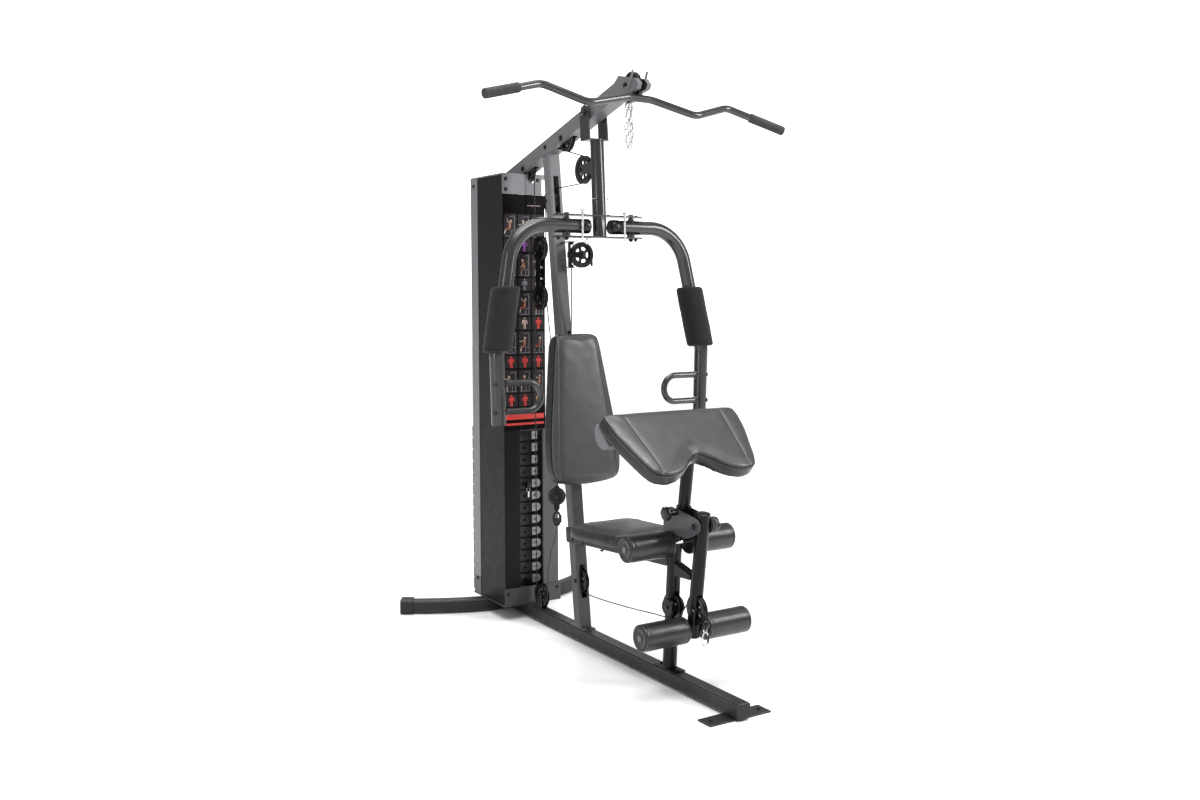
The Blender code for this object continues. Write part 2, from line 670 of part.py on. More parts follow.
def free_sweep(name, path, radius, sides, wall=None):
    """A round bar or tube along any path, without twist."""
    path = [Vector(p) for p in path]
    normal = None
    outer, inner = [], []
    for i, point in enumerate(path):
        tangent = (path[min(i + 1, len(path) - 1)] - path[max(i - 1, 0)]).normalized()
        if normal is None:
            normal = tangent.orthogonal().normalized()
        normal = (normal - tangent * normal.dot(tangent)).normalized()
        side = tangent.cross(normal)
        outer.append(place(circle(radius, sides), point, normal, side))
        if wall:
            inner.append(place(circle(radius - wall, sides), point, normal, side))
    if not wall:
        return skin(name, outer)
    return skin(name, outer + inner[::-1], closed=True)


SLEEVE_RADIUS = 0.0505
SLEEVE_START, SLEEVE_STOP = 0.219, 0.443     # along the slope, from the arm's upper corner


def foam_sleeve(side):
    """Thick foam tube on the arm's sloping part."""
    name = "foam_sleeve_right" if side > 0 else "foam_sleeve_left"
    top = Vector((side * 0.343, FLY_PIVOT_Y, ARM_Z))
    low = Vector((side * 0.430, FLY_PIVOT_Y - 0.036, 1.100))
    axis = (low - top).normalized()
    start, stop = SLEEVE_START, SLEEVE_STOP
    ease = 0.007
    bore = ARM_RADIUS + 0.0006
    profile = [(start, bore), (start, SLEEVE_RADIUS - ease), (start + ease, SLEEVE_RADIUS),
               (stop - ease, SLEEVE_RADIUS), (stop, SLEEVE_RADIUS - ease), (stop, bore)]
    finish(turned(name, profile, top, axis, 16, bored=True), "foam")


def lock_pin(side):
    """Bright pin through both carrier plates, with a flat head."""
    name = "lock_pin_right" if side > 0 else "lock_pin_left"
    profile = [(1.492, 0.003), (1.495, 0.0040), (1.5835, 0.0040), (1.5835, 0.0075), (1.5875, 0.0075),
               (1.5890, 0.006)]
    finish(turned(name, profile, (side * PIN_X, PIN_Y, 0), (0, 0, 1), 10), "chrome")


# ---- seat and leg developer ---------------------------------------------------------------
SEAT_SLOPE = 0.055


def seat_line(y):
    """Height of the seat beam's centre line."""
    return 0.399 + (0.15 - y) * SEAT_SLOPE


def post_y(z):
    """Y of the seat post's centre line."""
    return -0.456 - 0.063 * (z - 0.05)


def seat_beam():
    """Square tube from the upright to the seat post, with two cheeks beside the upright."""
    rear = upright_y(0.405, UPRIGHT_FACE + 0.0008)
    front = post_y(0.43) + 0.0245 + 0.0008
    tube = sweep("seat_beam", [(0, rear + 0.02, seat_line(rear + 0.02)),
                               (0, front - 0.02, seat_line(front - 0.02))],
                 rounded_box(BEAM, BEAM, 0.005), (1, 0, 0),
                 rounded_box(BEAM - 2 * WALL, BEAM - 2 * WALL, 0.003))
    face = [(upright_y(z, UPRIGHT_FACE + 0.0006), z) for z in (0.2, 0.6)]
    cut(tube, prism("upright", [face[0], (0.4, 0.2), (0.4, 0.6), face[1]], -0.05, 0.05))
    cut(tube, turned("post", [(-0.3, 0.0249), (0.3, 0.0249)], (0, post_y(0.43), 0.43), (0, -0.063, 1), 24))
    for x in (-0.0283, 0.0253):
        cheek = prism("cheek", [(0.060, 0.379), (0.176, 0.371), (0.183, 0.428), (0.060, 0.434)], x, x + 0.003)
        weld(tube, cheek)
    bracket = box("tie", (-0.0283, 0.0615, 0.385), (0.0283, 0.0645, 0.424))
    weld(tube, bracket)
    finish(tube, "charcoal_steel")


def seat_post():
    """Round post on its foot, with pulley housing, stop wedge and the developer's bracket."""
    foot_z = BEAM_TOP + GAP
    top = 0.531
    post = sweep("seat_post", [(0, post_y(0.05), 0.05), (0, post_y(top), top)], circle(0.024, 12), (1, 0, 0),
                 circle(0.0215, 12))
    cut(post, box("below", (-0.1, -0.6, 0.0), (0.1, -0.3, foot_z + 0.001)))
    foot = box("foot", (-0.0245, post_y(foot_z) - 0.058, foot_z),
               (0.0245, post_y(foot_z) + 0.058, foot_z + 0.004))
    cut(foot, turned("hole", [(-0.1, 0.0222), (0.2, 0.0222)], (0, post_y(foot_z), 0), (0, 0, 1), 12))
    weld(post, foot)
    weld(post, turned("housing", [(-0.0265, 0.029), (-0.0245, 0.031), (0.0245, 0.031), (0.0265, 0.029)],
                      (0, *POST_PULLEY), (1, 0, 0), 12))
    cut(post, slot_cutter(POST_PULLEY[0], POST_PULLEY[1], 0.056))
    cut(post, cross_hole("hole", *POST_PULLEY, 0.0052))
    root = post_y(0.40) - 0.0225
    wedge = prism("stop", [(root, 0.424), (root, 0.382), (developer_y(0.386) + DEV_RADIUS + 0.0005, 0.386),
                           (developer_y(0.402) + DEV_RADIUS + 0.0005, 0.402)], -0.016, 0.016)
    weld(post, wedge)
    weld(post, box("floor", (-0.0275, -0.5870, top - 0.002), (0.0275, -0.4590, top + 0.0015)))
    py, pz = DEV_PIVOT
    nose = [(py - 0.025 * math.cos(a), pz - 0.025 * math.sin(a)) for a in
            [math.radians(d) for d in (60, 20, -20, -60, -90)]]
    side_outline = [(-0.457, 0.527), (-0.590, 0.524)] + nose + [(-0.560, 0.607), (-0.500, 0.615),
                                                                (-0.457, 0.600)]
    for x in (-0.0290, 0.0260):
        weld(post, prism("cheek", side_outline, x, x + 0.003))
    weld(post, pivot_bolt())
    socket_axis = (0, preacher_y(0.7) - preacher_y(0.6), 0.1)
    socket_base = (0, preacher_y(0.531), 0.531)
    weld(post, turned("socket", [(0.0, 0.0255), (0.088, 0.0255)], socket_base, socket_axis, 12))
    cut(post, turned("bore", [(0.0035, 0.0222), (0.12, 0.0222)], socket_base, socket_axis, 12))
    cut(post, cross_hole("axle", *ROLLER_UPPER, 0.0083))
    hole = turned("knob_hole", [(-0.045, 0.0062), (-0.015, 0.0062)], (0, preacher_y(KNOB_Z), KNOB_Z),
                  (1, 0, 0), 10)
    cut(post, hole)
    finish(post, "black_steel")


def preacher_y(z):
    """Y of the arm curl post's centre line."""
    return -0.530 - 0.139 * (z - 0.605)


def roller_axle(name, place_yz):
    """Plain rod through the frame that two rollers turn on."""
    rod = turned(name, [(-0.205, 0.0065), (-0.203, 0.0080), (0.203, 0.0080), (0.205, 0.0065)],
                 (0, *place_yz), (1, 0, 0), 12)
    finish(rod, "chrome")


def roller(name, place_yz, side):
    """Padded roller with a flat disc and plug at its outer end."""
    a, b = ROLLER_HALF
    bore = 0.0084
    profile = [(a, bore), (a, 0.040), (a + 0.004, ROLLER_RADIUS), (b - 0.004, ROLLER_RADIUS),
               (b - 0.001, 0.040),
               (b, 0.036), (b, bore)]
    finish(turned(name, [(side * h, r) for h, r in profile], (0, *place_yz), (1, 0, 0), 16, bored=True),
           "vinyl")


def developer_y(z):
    """Y of the leg developer's centre line."""
    slope = (ROLLER_LOWER[0] - DEV_PIVOT[0]) / (DEV_PIVOT[1] - ROLLER_LOWER[1])
    return DEV_PIVOT[0] + (DEV_PIVOT[1] - z) * slope


def leg_developer():
    """Round swinging tube, slotted for its pulley, with bushes for the pivot and the axle."""
    tube = sweep("leg_developer", [(0, developer_y(0.608), 0.608), (0, developer_y(0.198), 0.198)],
                 circle(DEV_RADIUS, 12), (1, 0, 0))
    cut(tube, sweep("inside", [(0, developer_y(0.585), 0.585), (0, developer_y(0.15), 0.15)],
                    circle(0.0200, 12),
                    (1, 0, 0)))
    for centre in (DEV_PIVOT, ROLLER_LOWER):
        weld(tube, turned("bush", [(-0.0255, 0.0125), (0.0255, 0.0125)], (0, *centre), (1, 0, 0), 12))
        cut(tube, cross_hole("hole", *centre, 0.0085))
    cut(tube, slot_cutter(DEV_PULLEY[0], DEV_PULLEY[1], 0.050))
    cut(tube, cross_hole("hole", *DEV_PULLEY, 0.0052))
    finish(tube, "charcoal_steel")


def pivot_bolt():
    """Bolt through the bracket and the developer: a head on one side, a knob on the other."""
    profile = [(-0.0365, 0.006), (-0.0355, 0.009), (-0.0285, 0.009), (-0.0285, 0.0080), (0.0285, 0.0080),
               (0.0285, 0.0120), (0.0345, 0.0120), (0.0345, 0.0240), (0.0375, 0.0255), (0.0495, 0.0255),
               (0.0525, 0.0230)]
    return turned("pivot_bolt", profile, (0, *DEV_PIVOT), (1, 0, 0), 12)


def height_knob():
    """Knob that locks the curl pad's post."""
    profile = [(-0.0780, 0.022), (-0.0750, 0.0245), (-0.0630, 0.0245), (-0.0600, 0.022), (-0.0600, 0.0100),
               (-0.0300, 0.0100), (-0.0300, 0.0057), (-0.0222, 0.0057)]
    finish(turned("height_knob", profile, (0, preacher_y(KNOB_Z), KNOB_Z), (1, 0, 0), 14), "black_plastic")


# ---- pads ---------------------------------------------------------------------------------
def pad(name, outline, origin, across, down, thick, inset=0.012):
    """A soft slab: outline points (u, v) from the origin, crowned by a stepped edge."""
    across, down = Vector(across).normalized(), Vector(down).normalized()
    out = across.cross(down)
    cu = sum(u for u, v in outline) / len(outline)
    cv = sum(v for u, v in outline) / len(outline)
    rings = []
    for height, shrink in ((0.0, 0.004), (0.006, 0.0), (thick - 0.018, 0.0), (thick - 0.006, 0.005),
                           (thick, inset)):
        ring = []
        for u, v in outline:
            reach = math.hypot(u - cu, v - cv)
            factor = 1 - shrink / reach
            ring.append(Vector(origin) + across * (cu + (u - cu) * factor) + down * (cv + (v - cv) * factor)
                        + out * height)
        rings.append(ring)
    return skin(name, rings)


def mirrored(half):
    """A closed outline from its right half, given from the top middle to the bottom middle."""
    left = [(-u, v) for u, v in reversed(half) if u > 1e-6]
    return half + left


def back_pad():
    """Tapered back rest in front of the upright."""
    half = [(0.0, 0.0), (0.055, 0.000), (0.083, 0.006), (0.098, 0.026), (0.108, 0.090), (0.126, 0.220),
            (0.144, 0.345), (0.152, 0.430), (0.152, 0.490), (0.143, 0.527), (0.118, 0.549), (0.060, 0.557),
            (0.0, 0.559)]
    y, top = BACK_PAD_TOP
    down = (0, -BACK_PAD_LEAN, -1)
    slab = pad("back_pad", mirrored(half), (0, y, top), (-1, 0, 0), down, 0.056)
    sunk = 0.004
    outline = []
    for z in (1.050, 0.660):
        outline.append((y - BACK_PAD_LEAN * (top - z) - sunk, z))
    for z in (0.660, 1.050):
        outline.append((upright_y(z, UPRIGHT_FACE + GAP), z))
    weld(slab, prism("board", outline, -0.036, 0.036))
    finish(slab, "vinyl")


def seat_pad():
    """Seat cushion on the seat beam."""
    half = [(0.0, 0.0), (0.105, 0.002), (0.132, 0.012), (0.142, 0.040), (0.138, 0.150), (0.130, 0.280),
            (0.120, 0.306), (0.095, 0.318), (0.0, 0.322)]
    down = Vector((0, -1, SEAT_SLOPE)).normalized()
    rear = -0.012
    origin = (0, rear, seat_line(rear) + (BEAM / 2) * math.hypot(1, SEAT_SLOPE) + 0.0005)
    finish(pad("seat_pad", mirrored(half), origin, (-1, 0, 0), down, 0.050), "vinyl")


CURL_ANGLE = math.radians(38.5)
CURL_TOP = (-0.4527, 0.9287)
CURL_THICK = 0.056
CROSS_BAR_CENTRE = 0.042     # down the slope from the pad's upper edge
CROSS_BAR_HALF, CROSS_BAR_DEPTH, CROSS_BAR_REACH = 0.050, 0.045, 0.262


def curl_frame():
    """Origin, down-slope and outward directions of the curl pad's underside."""
    down = Vector((0, -math.cos(CURL_ANGLE), -math.sin(CURL_ANGLE)))
    out = Vector((0, -math.sin(CURL_ANGLE), math.cos(CURL_ANGLE)))
    origin = Vector((0, *CURL_TOP)) - out * CURL_THICK
    return origin, down, out


def preacher_pad():
    """Curl pad with a notch in its lower edge."""
    origin, down, out = curl_frame()
    half = [(0.0, -0.009), (0.250, -0.006), (0.268, 0.010), (0.262, 0.090), (0.245, 0.140), (0.228, 0.195),
            (0.212, 0.240), (0.198, 0.263), (0.170, 0.276), (0.140, 0.278), (0.105, 0.270), (0.070, 0.250),
            (0.045, 0.225), (0.018, 0.205), (0.0, 0.200)]
    slab = curl_slab("preacher_pad", half, origin, down, out)
    finish(slab, "vinyl")


def curl_slab(name, half, origin, down, out):
    """Slab over a notched outline, its edges pulled in near the upper face."""
    ring_outline = mirrored(half)
    count = len(ring_outline)
    rings = []
    for height, shrink in ((0.0, 0.003), (0.005, 0.0), (CURL_THICK - 0.016, 0.0), (CURL_THICK - 0.005, 0.004),
                           (CURL_THICK, 0.011)):
        ring = []
        for i, (u, v) in enumerate(ring_outline):
            before = Vector(ring_outline[i - 1])
            after = Vector(ring_outline[(i + 1) % count])
            edge = (after - before).normalized()
            inward = Vector((-edge.y, edge.x))
            p = Vector((u, v)) + inward * shrink
            ring.append(origin + Vector((1, 0, 0)) * p.x + down * p.y + out * height)
        rings.append(ring)
    return skin(name, rings)


def preacher_post():
    """Sliding post with the curl pad's slanted mounting plate and its top cross bar."""
    origin, down, out = curl_frame()
    base = origin - out * GAP
    z_low = 0.536
    tube = sweep("preacher_post", [(0, preacher_y(z_low), z_low), (0, preacher_y(0.82), 0.82)],
                 circle(0.0210, 12), (1, 0, 0))
    cut(tube, sweep("inside", [(0, preacher_y(0.52), 0.52), (0, preacher_y(0.70), 0.70)], circle(0.0185, 12),
                    (1, 0, 0)))
    side = Vector((1, 0, 0))

    def slab(name, u, v0, v1, low, high):
        corners = [(-u, v0), (u, v0), (u, v1), (-u, v1)]
        return skin(name, [[base + side * a + down * b + out * h for a, b in corners] for h in (low, high)])

    cut(tube, slab("above", 0.2, -0.1, 0.4, -0.001, 0.2))
    weld(tube, slab("plate", 0.070, 0.060, 0.175, -0.0045, -0.0005))
    half_round = [(CROSS_BAR_CENTRE + CROSS_BAR_HALF * math.cos(a), -CROSS_BAR_DEPTH * math.sin(a)) for a in
                  [math.pi * i / 6 for i in range(7)]]
    ends = (-CROSS_BAR_REACH, CROSS_BAR_REACH)
    bar = skin("bar", [[base + side * x + down * v + out * h for v, h in half_round] for x in ends])
    weld(tube, bar)
    hole = turned("hole", [(-0.04, 0.0062), (0.0, 0.0062)], (0, preacher_y(KNOB_Z), KNOB_Z), (1, 0, 0), 10)
    finish(cut(tube, hole), "charcoal_steel")


# ---- lat bar and chain --------------------------------------------------------------------
LAT_CORNERS = [(0.050, 0.0), (0.215, -0.040), (0.372, 0.008), (0.596, -0.056)]
LAT_TIP = 0.7            # the lower parts of the wave stand forward by this share
LAT_TILT = -0.022        # the bar hangs a little lower on the +X side
LAT_LUG_TOP = 1.9715


def lat_half(side):
    """Corners of one half of the bar's centre line, from the middle outwards."""
    return [Vector((side * x, LAT_Y + LAT_TIP * z, LAT_Z + z + LAT_TILT * side * x)) for x, z in LAT_CORNERS]


def lat_bar():
    """Waved steel bar with a short lug in the middle for the cable."""
    short = 0.004
    halves = []
    for side in (-1, 1):
        half = lat_half(side)
        half[-1] += (half[-2] - half[-1]).normalized() * short
        halves.append(half)
    points = halves[0][::-1] + halves[1]
    path = bend(points, [0.06, 0.07, 0.10, 0.10, 0.07, 0.06], 3)
    bar = sweep("lat_bar", path, circle(0.0125, 10), (0, 1, -LAT_TIP))
    lug = turned("lug", [(LAT_Z, 0.005), (LAT_LUG_TOP, 0.005)], (0, LAT_Y, 0), (0, 0, 1), 10)
    finish(weld(bar, lug), "gunmetal")


def lat_grip(side):
    """Ribbed rubber grip over one end of the bar."""
    corner, end = lat_half(side)[-2:]
    axis = (end - corner).normalized()
    length = (end - corner).length
    bore, outer = 0.0134, 0.0165
    start = length - 0.140
    profile = [(length - 0.0037, bore), (start, bore), (start, outer - 0.001), (start + 0.003, outer),
               (length - 0.005, outer), (length, outer - 0.004)]
    name = "lat_grip_right" if side > 0 else "lat_grip_left"
    cup = turned(name, profile, corner, axis, 14)
    finish(cup, "rubber")


def hanging_chain():
    """Short chain hung from the boom's tip."""
    outline = rounded_box(0.026, 0.016, 0.005, 1)
    rings = [place(outline, Vector((0, -0.203, z)), Vector((1, 0, 0)), Vector((0, 1, 0)))
             for z in (1.770, 1.945)]
    finish(skin("hanging_chain", rings), "chrome")


# ---- hanging blocks and swivel pulley -----------------------------------------------------
SWIVEL = (0.012, 0.203)
SWIVEL_Z = 1.450
LUG = 0.046              # height of the upright's ears above and below the swivel wheel's centre


def swivel_yoke():
    """Fork that turns on the upright's two ears and holds a wheel; the cable leaves through its axis."""
    sx, sy = SWIVEL
    high = LUG - GAP
    yoke = box("swivel_yoke", (sx - 0.0105, sy - 0.0075, SWIVEL_Z - high),
               (sx - 0.0065, sy + 0.0075, SWIVEL_Z + high))
    weld(yoke, box("back", (sx - 0.0105, sy - 0.0135, SWIVEL_Z - 0.011),
                   (sx - 0.0065, sy + 0.0135, SWIVEL_Z + 0.011)))
    for y in (sy - 0.0135, sy + 0.0105):
        cheek = box("cheek", (sx - 0.0105, y, SWIVEL_Z - 0.0105),
                    (sx + CABLE_SEAT + 0.011, y + 0.003, SWIVEL_Z + 0.0105))
        weld(yoke, cheek)
    for low in (SWIVEL_Z - high, SWIVEL_Z + 0.0370):
        collar = turned("collar", [(low, 0.0088), (low + high - 0.0370, 0.0088)], (sx, sy, 0), (0, 0, 1), 12)
        weld(yoke, collar)
    cut(yoke, turned("bore", [(SWIVEL_Z - 0.1, 0.0048), (SWIVEL_Z + 0.1, 0.0048)], (sx, sy, 0), (0, 0, 1),
                     10))
    cut(yoke, turned("hole", [(-0.03, 0.0052), (0.03, 0.0052)], (sx + CABLE_SEAT, sy, SWIVEL_Z), (0, 1, 0),
                     10))
    finish(yoke, "black_steel")


def floating_block():
    """Two cheeks with a wheel at each end, hung in the cables behind the upright."""
    (y0, z0), (_, z1) = FLOAT_PULLEYS
    block = None
    for x in (-0.0125, 0.0095):
        outline = [(y0 - 0.013, z1 - 0.016), (y0 + 0.013, z1 - 0.016), (y0 + 0.016, z1),
                   (y0 + 0.016, z0), (y0 + 0.013, z0 + 0.016), (y0 - 0.013, z0 + 0.016),
                   (y0 - 0.016, z0), (y0 - 0.016, z1)]
        cheek = prism("floating_block" if block is None else "cheek", outline, x, x + 0.003)
        block = cheek if block is None else weld(block, cheek)
    mid = (z0 + z1) / 2
    weld(block, box("spacer", (-0.011, y0 - 0.012, mid - 0.020), (0.011, y0 + 0.012, mid + 0.020)))
    for y, z in FLOAT_PULLEYS:
        h = PULLEY_WIDTH / 2
        groove = PULLEY_RADIUS - GROOVE_DEPTH
        wheel = turned("wheel", [(-h, PULLEY_RADIUS), (-0.0028, groove), (0.0028, groove),
                                 (h, PULLEY_RADIUS)],
                       (0, y, z), (1, 0, 0), 14)
        axle = turned("axle", [(-0.016, 0.007), (0.016, 0.007)], (0, y, z), (1, 0, 0), 8)
        weld(block, weld(wheel, axle))
    finish(block, "black_plastic")


HOOK = (0.297, 0.524)    # y, z of the hook block's wheel
HOOK_TURN = math.radians(32)   # the hanging block has turned about the cable by this


def hook_block():
    """Small wheel block with a snap hook, tied between the fly cable and the lower cable."""
    axis = Vector((math.sin(HOOK_TURN), math.cos(HOOK_TURN), 0))
    across = Vector((math.cos(HOOK_TURN), -math.sin(HOOK_TURN), 0))
    up = Vector((0, 0, 1))
    centre = Vector((0, *HOOK))
    block = turned("hook_block", [(-0.010, 0.028), (-0.007, 0.034), (0.007, 0.034), (0.010, 0.028)], centre,
                   axis, 12)
    outline = [(-0.012, -0.056), (0.012, -0.056), (0.012, 0.039), (-0.012, 0.039)]
    weld(block, skin("cheek", [place(outline, centre + axis * h, across, up) for h in (-0.013, 0.013)]))
    angles = [math.pi * i / 5 for i in range(10)]
    path = [centre + across * 0.0145 * math.sin(a) + up * (0.034 * math.cos(a) - 0.0935) for a in angles]
    finish(weld(block, loop_ring("hook", path, axis, 0.0045, 6)), "black_plastic")


def loop_ring(name, points, across, radius, sides):
    """A closed ring of round bar through points in the plane square to `across`."""
    count = len(points)
    rings = []
    for i, point in enumerate(points):
        tangent = (points[(i + 1) % count] - points[i - 1]).normalized()
        rings.append(place(circle(radius, sides), point, across, tangent.cross(across)))
    return skin(name, rings, closed=True)


# ---- cables -------------------------------------------------------------------------------
def arc(centre, start, stop, radius=CABLE_SEAT, steps=5):
    """Points round a pulley in the YZ plane, angles in degrees from +Y towards +Z."""
    cy, cz = centre
    points = []
    for i in range(steps + 1):
        a = math.radians(start + (stop - start) * i / steps)
        points.append((0.0, cy + radius * math.cos(a), cz + radius * math.sin(a)))
    return points


def cable(name, points, radius=CABLE_RADIUS, resolution=2):
    """A round cable along the points, as a curve object with filled ends."""
    curve = bpy.data.curves.new(name, "CURVE")
    curve.dimensions = "3D"
    curve.bevel_depth = radius
    curve.bevel_resolution = resolution
    curve.use_fill_caps = True
    spline = curve.splines.new("POLY")
    spline.points.add(len(points) - 1)
    for point, co in zip(spline.points, points):
        point.co = (*co, 1.0)
    curve.materials.append(material("cable_black"))
    obj = bpy.data.objects.new(name, curve)
    bpy.context.scene.collection.objects.link(obj)


def upper_cable(stem_top):
    """Lat bar, tip, middle, press, slot, floating, rear and stack pulleys, then the stack."""
    points = [(0, LAT_Y, LAT_LUG_TOP + GAP)]
    points += arc(TIP_PULLEY, 180, 74)
    points += arc(MID_PULLEY, 74, -76, steps=6)
    points += arc(PRESS_PULLEY, 104, 269, CABLE_SEAT + PRESS_RADIUS - PULLEY_RADIUS, steps=8)
    points += arc(SLOT_PULLEY, 89, 0)
    points += arc(FLOAT_PULLEYS[0], 180, 360, steps=8)
    points += arc(REAR_PULLEY, 180, 71)
    points += arc(STACK_PULLEY, 71, 0)
    points += [(0, STACK_Y, 1.500), (0, STACK_Y, 1.100), (0, STACK_Y, stem_top + GAP)]
    cable("upper_cable", points)


def lower_cable():
    """Developer, post, low, floating and base pulleys, and up to the hook block."""
    points = [(0, DEV_PULLEY[0] - CABLE_SEAT, 0.262)]
    points += arc(DEV_PULLEY, 180, 39)
    points += arc(POST_PULLEY, 219, 267, steps=3)
    points += [(0, -0.360, 0.2190), (0, -0.270, 0.2095), (0, -0.180, 0.2015), (0, -0.090, 0.1945),
               (0, 0.000, 0.1895)]
    points += arc(LOW_PULLEY, 267, 349, steps=4)
    points += arc(FLOAT_PULLEYS[1], 169, 0, steps=8)
    points += arc(BASE_PULLEY, 0, -178, steps=8)
    points += [(0, 0.3700, 0.200), (0, 0.3450, 0.290), (0, HOOK[0], 0.3900)]
    cable("lower_cable", points)


def swivel_cable():
    """Fly cable: over the swivel wheel, through the upright behind the back pad, to the hook block."""
    sx, sy = SWIVEL
    reach = CABLE_SEAT
    points = [(sx + 2 * reach, sy, SWIVEL_Z - 0.030)]
    for i in range(9):
        a = math.pi * i / 8
        points.append((sx + reach + reach * math.cos(a), sy, SWIVEL_Z + reach * math.sin(a)))
    points += [(sx, sy, 1.350), (sx, sy, 1.250), (sx, 0.2050, 1.160), (sx, 0.2120, 1.146),
               (sx, 0.2210, 1.134), (sx, 0.2320, 1.120), (sx, 0.2520, 1.085), (sx, 0.2660, 1.055),
               (0.011, 0.2810, 0.816), (0.009, HOOK[0], 0.5660)]
    cable("swivel_cable", points)


# ---- assembly -----------------------------------------------------------------------------
def build():
    """Make every piece."""
    clear_scene()
    front_foot_plate()
    main_beam()
    beam_front_cap()
    rear_stabilizer()
    stack_frame()
    shroud_left()
    shroud_right()
    exercise_placard()
    resting_weights()
    lifted_weights()
    stem_top = top_weight()
    selector_pin()
    front_upright()
    boom()
    press_frame()
    seat_beam()
    seat_post()
    leg_developer()
    height_knob()
    back_pad()
    seat_pad()
    preacher_pad()
    preacher_post()
    lat_bar()
    hanging_chain()
    swivel_yoke()
    floating_block()
    hook_block()
    for side in (-1, 1):
        stabilizer_cap(side)
        guide_rod(side)
        arm(side)
        foam_sleeve(side)
        lock_pin(side)
        lat_grip(side)
    wheels = {"tip_pulley": TIP_PULLEY, "mid_pulley": MID_PULLEY, "rear_pulley": REAR_PULLEY,
              "stack_pulley": STACK_PULLEY, "slot_pulley": SLOT_PULLEY, "base_pulley": BASE_PULLEY,
              "low_pulley": LOW_PULLEY, "post_pulley": POST_PULLEY, "developer_pulley": DEV_PULLEY}
    for name, centre in wheels.items():
        pulley(name, centre)
    pulley("press_pulley", PRESS_PULLEY, radius=PRESS_RADIUS)
    pulley("swivel_pulley", (SWIVEL[0] + CABLE_SEAT, SWIVEL[1], SWIVEL_Z), (0, 1, 0))
    for level, centre in (("upper", ROLLER_UPPER), ("lower", ROLLER_LOWER)):
        roller_axle(level + "_roller_axle", centre)
        roller(level + "_roller_left", centre, -1)
        roller(level + "_roller_right", centre, 1)
    upper_cable(stem_top)
    lower_cable()
    swivel_cable()


build()
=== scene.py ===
"""Looks of the multi station home gym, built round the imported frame.

Metres, +Z up. The foot plate is towards -Y and the weight stack towards +Y. A piece named
left is on the -X side, which is the left as seen from the front and the seated user's right.
"""
import math

import bmesh
import bpy
import numpy as np
from mathutils import Matrix, Vector, noise
from mathutils.bvhtree import BVHTree


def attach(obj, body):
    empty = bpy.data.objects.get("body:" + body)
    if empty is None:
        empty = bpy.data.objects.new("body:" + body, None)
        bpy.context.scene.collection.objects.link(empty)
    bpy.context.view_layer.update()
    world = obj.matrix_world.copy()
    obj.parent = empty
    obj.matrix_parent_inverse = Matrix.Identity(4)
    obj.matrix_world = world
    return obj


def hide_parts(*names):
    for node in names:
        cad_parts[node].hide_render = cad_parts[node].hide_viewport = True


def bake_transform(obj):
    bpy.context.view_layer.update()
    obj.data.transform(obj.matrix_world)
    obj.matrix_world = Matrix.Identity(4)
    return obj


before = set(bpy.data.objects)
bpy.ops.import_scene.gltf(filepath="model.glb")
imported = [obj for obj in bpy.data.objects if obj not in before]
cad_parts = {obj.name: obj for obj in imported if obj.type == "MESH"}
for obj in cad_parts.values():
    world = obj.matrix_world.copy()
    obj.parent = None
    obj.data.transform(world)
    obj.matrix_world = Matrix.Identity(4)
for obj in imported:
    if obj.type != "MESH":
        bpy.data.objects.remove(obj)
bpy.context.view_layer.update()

QUARTER = math.pi / 2
UP = Vector((0, 0, 1))
SIDE = Vector((1, 0, 0))
BACK = Vector((0, 1, 0))

# ---- places that the frame's nodes share with these pieces --------------------------------
TIP = (-0.2205, 2.001)
MID = (0.212, 1.876)
REAR = (0.508, 1.791)
STACK = (0.6405, 1.745)
PRESS = (0.093, 1.752)
SLOT = (0.330, 1.655)
FLOAT = ((0.419, 1.480), (0.419, 1.290))
BASE = (0.419, 0.106)
LOW = (0.117, 0.232)
POST = (-0.4755, 0.272)
DEV = (-0.6065, 0.292)
SWIVEL = Vector((0.012, 0.203, 1.450))
HOOK = (0.297, 0.524)
HOOK_TURN = math.radians(32)
DEV_PIVOT = (-0.632, 0.571)
HEIGHT_KNOB = (-0.529305, 0.600)
SEAT_RADIUS = 0.0445     # cable centre line round a wheel
WHEEL_RADIUS = 0.048
PRESS_RADIUS = 0.051
CABLE_RADIUS = 0.0022
STACK_Y = 0.685
STACK_FRONT, STACK_REAR = 0.560, 0.810
PLATE_PITCH, PLATE_GAP = 0.0494, 0.0022
PIN_HOLE = 0.0235        # above a plate's underside
STACK_BASE_Z = 0.066
PLATES_BELOW, PLATES_LIFTED = 9, 4
PIN_Z = STACK_BASE_Z + PLATES_BELOW * PLATE_PITCH + PIN_HOLE
FLY = (0.135, -0.012)
ARM_Z = 1.5425
ARM_RADIUS = 0.025
LOCK = (0.088, -0.0435)
LAT = Vector((0, -0.265, 1.955))
LAT_CORNERS = [(0.050, 0.0), (0.215, -0.040), (0.372, 0.008), (0.596, -0.056)]
LAT_TIP, LAT_TILT = 0.7, -0.022

